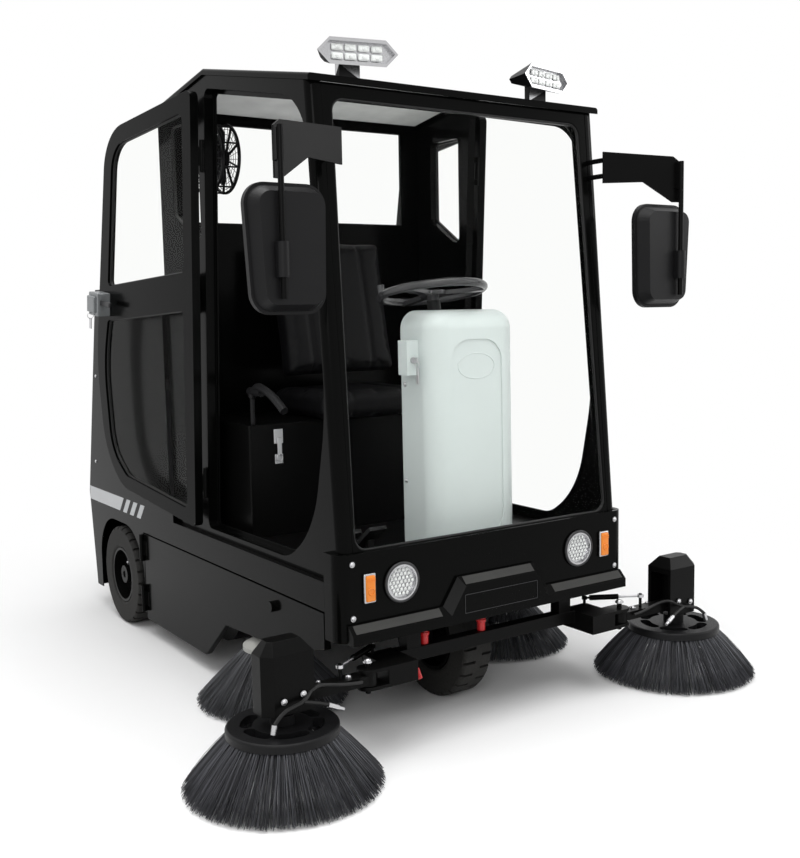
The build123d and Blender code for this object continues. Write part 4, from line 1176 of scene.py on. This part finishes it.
@dataclass
class RoofLamps:
    """Emitter blocks inside the six-sided roof lamps, and the covers of all four lamps."""

    shop: Workshop
    toe_out: float = 13.0
    face: Point = (0.360, aft(-130), 1.9995)
    columns: int = 4
    column_pitch: float = 0.040
    row_rise: float = 0.0125
    block: Point = (0.034, 0.010, 0.019)
    block_deep: float = 0.012
    emitter_r: float = 0.007
    half: float = 0.112
    high: float = 0.027
    cover_thick: float = 0.002
    headlamp_cover: tuple[float, float] = (-285.5, -287.5)
    roof_z: float = 1.6
    body_foot_z: float = 1.962

    def build(self) -> None:
        """Fit both lamps and the clear covers of all four lamps."""
        chips, covers = [], []
        half, high = self.half, self.high
        outline = ((-half, 0), (-half + high, -high), (half - high, -high), (half, 0),
                   (half - high, high), (-half + high, high))
        for side in Side:
            angle = side.value * self.toe_out
            right, ahead = self._ways(angle)
            centre = Vector((side.value * self.face[0], *self.face[1:]))
            for row in (-1, 1):
                for column in range(self.columns):
                    across = right * (column - 1.5) * self.column_pitch
                    rise = Vector((0, 0, row * self.row_rise))
                    place = centre + across + rise - ahead * self.block_deep
                    block = box(self.block, tuple(place), (0, 0, angle))
                    bevel(block, 0.004)
                    foot = place + ahead * (self.block[1] / 2)
                    chips += [block, dome(tuple(foot), tuple(ahead), self.emitter_r)]
            covers.append(plate(outline, tuple(centre - ahead * 0.004), tuple(right), (0, 0, 1),
                                self.cover_thick))
            x, z = side.value * FrontEnd.lamp_x, FrontEnd.lamp_z
            back, front = (aft(behind) for behind in self.headlamp_cover)
            covers.append(rod(FrontEnd.lens_r, (x, back, z), (x, front, z), 40))
        self.shop.fit(join(chips, "roof_lamp_emitters"), "chassis", "led_chip")
        self.shop.fit(join(covers, "lamp_covers"), "chassis", "lamp_glass", "lamp_lenses")
        self._blacken()

    @staticmethod
    def _ways(angle: float) -> tuple[Vector, Vector]:
        """Directions of a turned lamp.

        Args:
            angle: Turn about Z in degrees.

        Returns:
            The way along its face and the way it shines.
        """
        along, across = math.cos(math.radians(angle)), math.sin(math.radians(angle))
        return Vector((along, across, 0)), Vector((across, -along, 0))

    def _blacken(self) -> None:
        """Black feet and backs on the roof lamps, whose rims and bowls stay bright."""
        housing = plain_copy(self.shop.frame["nodes"]["lamp_housings"], "lamp_housings_finished")
        self.shop.fit(housing, "chassis", "lamp_chrome", "lamp_housings")
        housing.data.materials.append(self.shop.finishes.get("black_plastic"))
        for face in housing.data.polygons:
            ahead = self._ways(math.copysign(self.toe_out, face.center.x))[1]
            back_or_foot = face.center.z < self.body_foot_z or face.normal.dot(ahead) < -0.1
            if face.center.z > self.roof_z and back_or_foot:
                face.material_index = 1


@dataclass
class Sides:
    """Grey stripe with slanting bars, screws and wheel nuts."""

    shop: Workshop
    stripe_z: tuple[float, float] = (0.464, 0.522)
    stripe_ends: tuple[float, ...] = (1852, 1476, 1426, 1850)
    bar_ends: tuple[float, ...] = (1440, 1398, 1348, 1390)
    bars: int = 3
    bar_pitch: float = 78
    stripe_thick: float = 0.0008
    screws: Outline = ((1698, 1.012), (1752, 0.640), (1228, 0.352), (1230, 0.123))
    screw_r: float = 0.007
    wheel: Point = (0.527, aft(1450), 0.2)
    nuts: int = 5
    nut_circle: float = 0.062
    nut_r: float = 0.009

    def build(self) -> None:
        """Fit both sides, drawn on the right-hand one."""
        low, high = self.stripe_z
        rows = [self.stripe_ends]
        for number in range(self.bars):
            rows.append([end - self.bar_pitch * number for end in self.bar_ends])
        stripes = []
        for ends in rows:
            corners = [(-aft(end), z) for end, z in zip(ends, (low, low, high, high))]
            stripes.append(plate(corners, (-BODY_X, 0, 0), (0, -1, 0), (0, 0, 1),
                                 self.stripe_thick))
        stripe = join(stripes, "side_stripe_right")
        screws = [bolt((-BODY_X, aft(behind), z), (-1, 0, 0), self.screw_r)
                  for behind, z in self.screws]
        screw = join(screws, "side_screws_right")
        self.shop.fit(mirrored(stripe, "side_stripe_left"), "chassis", "stripe_grey")
        self.shop.fit(mirrored(screw, "side_screws_left"), "chassis", "bright_steel")
        self.shop.fit(stripe, "chassis", "stripe_grey")
        self.shop.fit(screw, "chassis", "bright_steel")
        for side in Side:
            self._wheel_nuts(side)

    def _wheel_nuts(self, side: Side) -> None:
        """Ring of nuts on one rear wheel.

        Args:
            side: The wheel's side.
        """
        x, y, z = self.wheel
        nuts = []
        for number in range(self.nuts):
            angle = 2 * math.pi * (number + 0.5) / self.nuts
            place = (side.value * x, y + self.nut_circle * math.cos(angle),
                     z + self.nut_circle * math.sin(angle))
            nuts.append(bolt(place, (side.value, 0, 0), self.nut_r))
        self.shop.fit(join(nuts, f"wheel_nuts_{side.label}"), f"rear_wheel_{side.label}",
                      "bright_steel")


@dataclass
class Cabin:
    """Headliner, hand lever, seat-box latch, console screws, bare oval, key and fan wires."""

    shop: Workshop
    lining_edge: Point = (0, aft(545), 2.030)
    lining_half: float = 0.47
    lining_deep: float = 0.32
    lining_fall: float = -0.14
    lining_thick: float = 0.004
    lever_x: float = -0.43
    lever_bends: Outline = ((482, 0.985), (455, 1.020), (404, 1.018), (320, 0.992), (252, 0.950))
    lever_r: float = 0.014
    latch: Point = (-0.352, aft(450), 0.772)
    latch_plates: tuple[Sized, ...] = (
        # size, place from the middle of the latch's ring on the seat box
        ((0.034, 0.004, 0.050), (0, -0.002, 0.074)),
        ((0.030, 0.004, 0.034), (0, -0.002, -0.004)),
        ((0.016, 0.008, 0.060), (0, -0.008, 0.040)),
    )
    console_screws: Outline = ((36, 1.030), (40, 0.720))
    console_side: float = -0.118
    switch: Point = (-0.140, aft(-46), 1.110)
    oval: Point = (0.053, aft(-126.2), 1.087)
    oval_r: float = 0.040
    oval_stretch: float = 1.8
    fan: Point = (-0.428, aft(695), 1.800)
    fan_half: float = 0.031
    fan_hoops: tuple[float, ...] = (0.048, 0.066, 0.084, 0.102)
    fan_spokes: int = 27
    fan_spoke_r: tuple[float, float] = (0.030, 0.116)

    def build(self) -> None:
        """Fit the cab."""
        half, deep = self.lining_half, self.lining_deep
        lining = plate(((-half, 0.0), (half, 0.0), (half, deep), (-half, deep)), self.lining_edge,
                       (1, 0, 0), (0, 1, self.lining_fall), self.lining_thick)
        # the lining's finish glows a little, a painted glow and not a lamp
        self.shop.fit(settle(lining, "headliner"), "chassis", "headliner")
        bends = [(self.lever_x, aft(behind), z) for behind, z in self.lever_bends]
        grip = pipe(bends, self.lever_r, "hand_lever_grip", 16)
        self.shop.fit(grip, "chassis", "black_plastic")
        self._latch()
        self._console()
        self._fan()

    def _latch(self) -> None:
        """Toggle latch on the front of the seat box."""
        parts = [box(size, moved(self.latch, off)) for size, off in self.latch_plates]
        for piece in parts:
            bevel(piece, 0.0015)
        parts.append(hoop(0.011, 0.002, moved(self.latch, (0, -0.008, 0)), (0, -1, 0), 20))
        self.shop.fit(join(parts, "seat_box_latch"), "chassis", "bright_steel")

    def _console(self) -> None:
        """Screws on the console's flange, a bare oval on its front and the ignition key."""
        parts = [bolt((self.console_side, aft(behind), z), (-1, 0, 0), 0.008)
                 for behind, z in self.console_screws]
        x, y, z = self.switch
        parts.append(rod(0.010, (x, y, z), (x, y - 0.008, z)))
        parts.append(box((0.003, 0.022, 0.016), (x, y - 0.018, z)))
        parts.append(hoop(0.010, 0.0012, (x, y - 0.026, z - 0.012), (1, 0, 0), 18))
        parts.append(box((0.0025, 0.012, 0.052), (x, y - 0.026, z - 0.048)))
        self.shop.fit(join(parts, "console_screws_and_key"), "chassis", "bright_steel")
        oval = hoop(self.oval_r, 0.0011, self.oval, (0, -1, 0), 48)
        middle = Matrix.Translation((self.oval[0], 0, 0))
        stretch = Matrix.Scale(self.oval_stretch, 4, (1, 0, 0))
        oval.data.transform(middle @ stretch @ middle.inverted())
        oval.name = "console_bare_oval"
        self.shop.fit(oval, "chassis", "console_plastic")

    def _fan(self) -> None:
        """Fine wires over both faces of the fan guard."""
        inner, outer = self.fan_spoke_r
        wires = []
        for depth in (-self.fan_half, self.fan_half):
            centre = Vector(moved(self.fan, (depth, 0, 0)))
            for radius in self.fan_hoops:
                wires.append(hoop(radius, 0.0011, tuple(centre), (1, 0, 0), 32))
            for number in range(self.fan_spokes):
                angle = 2 * math.pi * number / self.fan_spokes
                way = Vector((0, math.cos(angle), math.sin(angle)))
                wires.append(rod(0.0010, tuple(centre + way * inner),
                                 tuple(centre + way * outer), 6))
        self.shop.fit(join(wires, "fan_guard_wires"), "chassis", "dark_steel")


@dataclass
class Seals:
    """Rubber beads round every pane, run along the edges of the CAD glass."""

    shop: Workshop
    radius: float = 0.004
    sharp: float = 60.0
    panes: tuple[tuple[str, str], ...] = (
        # CAD node, body
        ("cab_glass", "chassis"), ("door_glass_left", "door_left"),
        ("door_glass_right", "door_right"),
    )

    def build(self) -> None:
        """Seal the fixed panes and those of both doors."""
        for node, body in self.panes:
            bead = self._bead(self.shop.frame["nodes"][node], f"{node}_seal")
            self.shop.fit(bead, body, "black_rubber")

    def _bead(self, source: Object, name: str) -> Object:
        """Run a round bead along a pane's sharp edges.

        Args:
            source: CAD node of the glass.
            name: Name of the result.

        Returns:
            The settled bead.
        """
        pane = plain_copy(source, name)
        edit_welded(pane)
        bpy.ops.mesh.select_mode(type="EDGE")
        bpy.ops.mesh.select_all(action="DESELECT")
        bpy.ops.mesh.edges_select_sharp(sharpness=math.radians(self.sharp))
        bpy.ops.object.mode_set(mode="OBJECT")
        points = [vertex.co.copy() for vertex in pane.data.vertices]
        edges = [tuple(edge.vertices) for edge in pane.data.edges if edge.select]
        pane.data.clear_geometry()
        pane.data.from_pydata(points, edges, [])
        activate(pane)
        bpy.ops.object.convert(target="CURVE")
        line = bpy.context.active_object
        line.data.bevel_depth = self.radius
        line.data.bevel_resolution = 1
        bpy.ops.object.convert(target="MESH")
        piece = settle(bpy.context.active_object, name)
        bpy.ops.object.shade_smooth()
        return piece


@dataclass
class Seat:
    """Cushion and back, swelled from smaller forms by a cloth simulation."""

    shop: Workshop
    cushion: Sized = ((0.425, 0.395, 0.072), (0, aft(580), 0.940))
    back: Sized = ((0.425, 0.080, 0.500), (0, aft(706), 1.272))
    back_lean: float = -12.0
    edge: float = 0.022
    voxel: float = 0.007
    pressure: float = 4.0
    frames: int = 20
    cap: float = 0.014
    channel_x: float = 0.105
    channel_deep: float = 0.007
    channel_wide: float = 0.009

    def build(self) -> None:
        """Make both pads."""
        cushion = self._pad("seat_cushion", self.cushion, 0.0)
        back = self._pad("seat_back", self.back, self.back_lean)
        self.shop.fit(cushion, "chassis", "seat_vinyl", "seat")
        self.shop.fit(back, "chassis", "seat_vinyl")

    def _pad(self, name: str, form: Sized, lean: float) -> Object:
        """Swell one pad and press its two sewn channels.

        Args:
            name: Object name.
            form: Extents before it swells, and its centre.
            lean: Turn about X in degrees.

        Returns:
            The finished pad.
        """
        size, place = form
        pad = box(size, (0, 0, 0))
        bevel(pad, self.edge, 4)
        pad.data.remesh_voxel_size = self.voxel
        bpy.ops.object.voxel_remesh()
        before = [vertex.co.copy() for vertex in pad.data.vertices]
        self._swell(pad)
        thin = min(range(3), key=lambda axis: size[axis])
        for vertex, start in zip(pad.data.vertices, before):
            move = vertex.co - start
            if move.length > self.cap:
                vertex.co = start + move.normalized() * self.cap
            for channel in (-self.channel_x, self.channel_x):
                off = (vertex.co.x - channel) / self.channel_wide
                press = self.channel_deep * math.exp(-(off**2))
                vertex.co[thin] -= math.copysign(press, vertex.co[thin])
        smooth = pad.modifiers.new("smooth", "SUBSURF")
        smooth.levels = 1
        smooth.render_levels = 1
        apply_modifiers(pad)
        bpy.ops.object.shade_smooth()
        turn = Matrix.Rotation(math.radians(lean), 4, "X")
        pad.data.transform(Matrix.Translation(place) @ turn)
        return settle(pad, name)

    def _swell(self, pad: Object) -> None:
        """Blow a pad up with the cloth simulation.

        Args:
            pad: The pad before it swells.
        """
        cloth = pad.modifiers.new("swell", "CLOTH")
        cloth.settings.use_pressure = True
        cloth.settings.uniform_pressure_force = self.pressure
        cloth.settings.effector_weights.gravity = 0.0
        scene = bpy.context.scene
        for frame in range(1, self.frames + 1):
            scene.frame_set(frame)
        apply_modifiers(pad)
        scene.frame_set(1)


@dataclass
class Studio:
    """Floor, lights and the camera at the photograph's viewpoint."""

    surround: float = 0.55
    floor_side: float = 60.0
    floor_grey: float = 0.95
    fade: tuple[float, float] = (1.5, 2.8)
    soft_boxes: tuple[tuple, ...] = (
        # name, place, aim, size, power
        ("top_soft_box", (-0.6, -0.6, 4.6), (0, 0, 0.8), 4.5, 210.0),
        ("front_soft_box", (-3.6, -4.6, 2.8), (0, 0, 0.9), 1.6, 42.0),
        ("side_soft_box", (4.2, -3.0, 2.6), (0, 0, 0.9), 1.4, 34.0),
    )
    eye: Point = (-2.0362, -3.4133, 1.2661)
    yaw: float = -34.122
    pitch: float = -6.359
    roll: float = -1.0685
    sensor_mm: float = 36.0
    focal_px: float = 1065.19
    photo_px: float = 858.0

    def build(self) -> None:
        """Set the stage."""
        bpy.context.scene.view_settings.view_transform = "Standard"
        self._world()
        self._floor()
        self._lamps()
        self._camera()

    def _world(self) -> None:
        """White surround, dimmer for the surfaces that it lights."""
        world = bpy.data.worlds.new("studio")
        bpy.context.scene.world = world
        world.use_nodes = True
        tree = world.node_tree
        background = tree.nodes["Background"]
        background.inputs["Color"].default_value = (1, 1, 1, 1)
        background.inputs["Strength"].default_value = self.surround
        seen = add_node(tree, "ShaderNodeBackground", {"Color": (1, 1, 1, 1), "Strength": 1.0})
        path = add_node(tree, "ShaderNodeLightPath", {}).outputs
        either = reckon(tree, "MAXIMUM", path["Is Camera Ray"], path["Is Transmission Ray"])
        bright = reckon(tree, "MAXIMUM", either, path["Is Glossy Ray"])
        mix = add_node(tree, "ShaderNodeMixShader",
                       {0: bright, 1: background.outputs[0], 2: seen.outputs[0]})
        tree.links.new(mix.outputs[0], tree.nodes["World Output"].inputs["Surface"])

    def _floor(self) -> None:
        """Plain pale floor that fades into the surround."""
        deselect()
        bpy.ops.mesh.primitive_plane_add(size=self.floor_side, location=(0, 0, 0))
        floor = settle(bpy.context.active_object, "studio_floor")
        material = bpy.data.materials.new("studio_floor")
        material.use_nodes = True
        tree = material.node_tree
        shader = tree.nodes["Principled BSDF"]
        shader.inputs["Base Color"].default_value = (*[self.floor_grey] * 3, 1)
        shader.inputs["Roughness"].default_value = 0.9
        shader.inputs["Specular IOR Level"].default_value = 0.05
        place = add_node(tree, "ShaderNodeTexCoord", {})
        reach = add_node(tree, "ShaderNodeVectorMath", {0: place.outputs["Object"]},
                         operation="LENGTH")
        fade = add_node(
            tree, "ShaderNodeMapRange",
            {"From Min": self.fade[0], "From Max": self.fade[1], "Value": reach.outputs["Value"]},
            interpolation_type="SMOOTHSTEP")
        glow = add_node(tree, "ShaderNodeEmission", {})
        mix = add_node(tree, "ShaderNodeMixShader",
                       {0: fade.outputs["Result"], 1: shader.outputs[0], 2: glow.outputs[0]})
        tree.links.new(mix.outputs[0], tree.nodes["Material Output"].inputs["Surface"])
        floor.data.materials.append(material)

    def _lamps(self) -> None:
        """Soft boxes above and at the front."""
        for name, place, aim, size, power in self.soft_boxes:
            data = bpy.data.lights.new(name, "AREA")
            data.energy = power
            data.shape = "SQUARE"
            data.size = size
            lamp = bpy.data.objects.new(name, data)
            bpy.context.scene.collection.objects.link(lamp)
            lamp.location = place
            lamp.rotation_mode = "QUATERNION"
            lamp.rotation_quaternion = (Vector(aim) - Vector(place)).to_track_quat("-Z", "Y")

    def _camera(self) -> None:
        """Camera solved from the photograph."""
        yaw, pitch, roll = (math.radians(angle) for angle in (self.yaw, self.pitch, self.roll))
        ahead = Vector((-math.sin(yaw) * math.cos(pitch), math.cos(yaw) * math.cos(pitch),
                        math.sin(pitch)))
        level = Vector((math.cos(yaw), math.sin(yaw), 0))
        rise = level.cross(ahead)
        right = level * math.cos(roll) + rise * math.sin(roll)
        up = rise * math.cos(roll) - level * math.sin(roll)
        data = bpy.data.cameras.new("photo_camera")
        data.sensor_width = self.sensor_mm
        data.lens = self.sensor_mm * self.focal_px / self.photo_px
        data.clip_start = 0.05
        camera = bpy.data.objects.new("photo_camera", data)
        bpy.context.scene.collection.objects.link(camera)
        turn = Matrix((right, up, -ahead)).transposed().to_4x4()
        camera.matrix_world = Matrix.Translation(self.eye) @ turn
        bpy.context.scene.camera = camera


def brushes() -> list[FlaredBrush]:
    """The four flared brushes.

    Returns:
        The front and the side brush of each side.
    """
    made = []
    for side in Side:
        made.append(FlaredBrush(
            side, "front", "bristle_black", FRONT_BRUSH_X, FRONT_BRUSH_BEHIND,
            root_r=0.147, root_z=0.152, tip_r=0.274))
        made.append(FlaredBrush(
            side, "side", "bristle_grey", SIDE_BRUSH_X, SIDE_BRUSH_BEHIND,
            root_r=0.087, root_z=0.176, tip_r=0.249, tufts=48, seed=9))
    return made


def main() -> None:
    """Load the frame, dress it and set the stage."""
    logging.basicConfig(level=logging.INFO, format="%(name)s: %(message)s")
    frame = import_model()
    shop = Workshop(frame, Finishes())
    CadDress(shop).build()
    for brush in brushes():
        brush.build(shop)
    for kind in (CabDoors, FrontEnd, BrushArms, Mirrors, RoofLamps, Sides, Cabin, Seals, Seat):
        kind(shop).build()
    Studio().build()


if __name__ == "__main__":
    main()
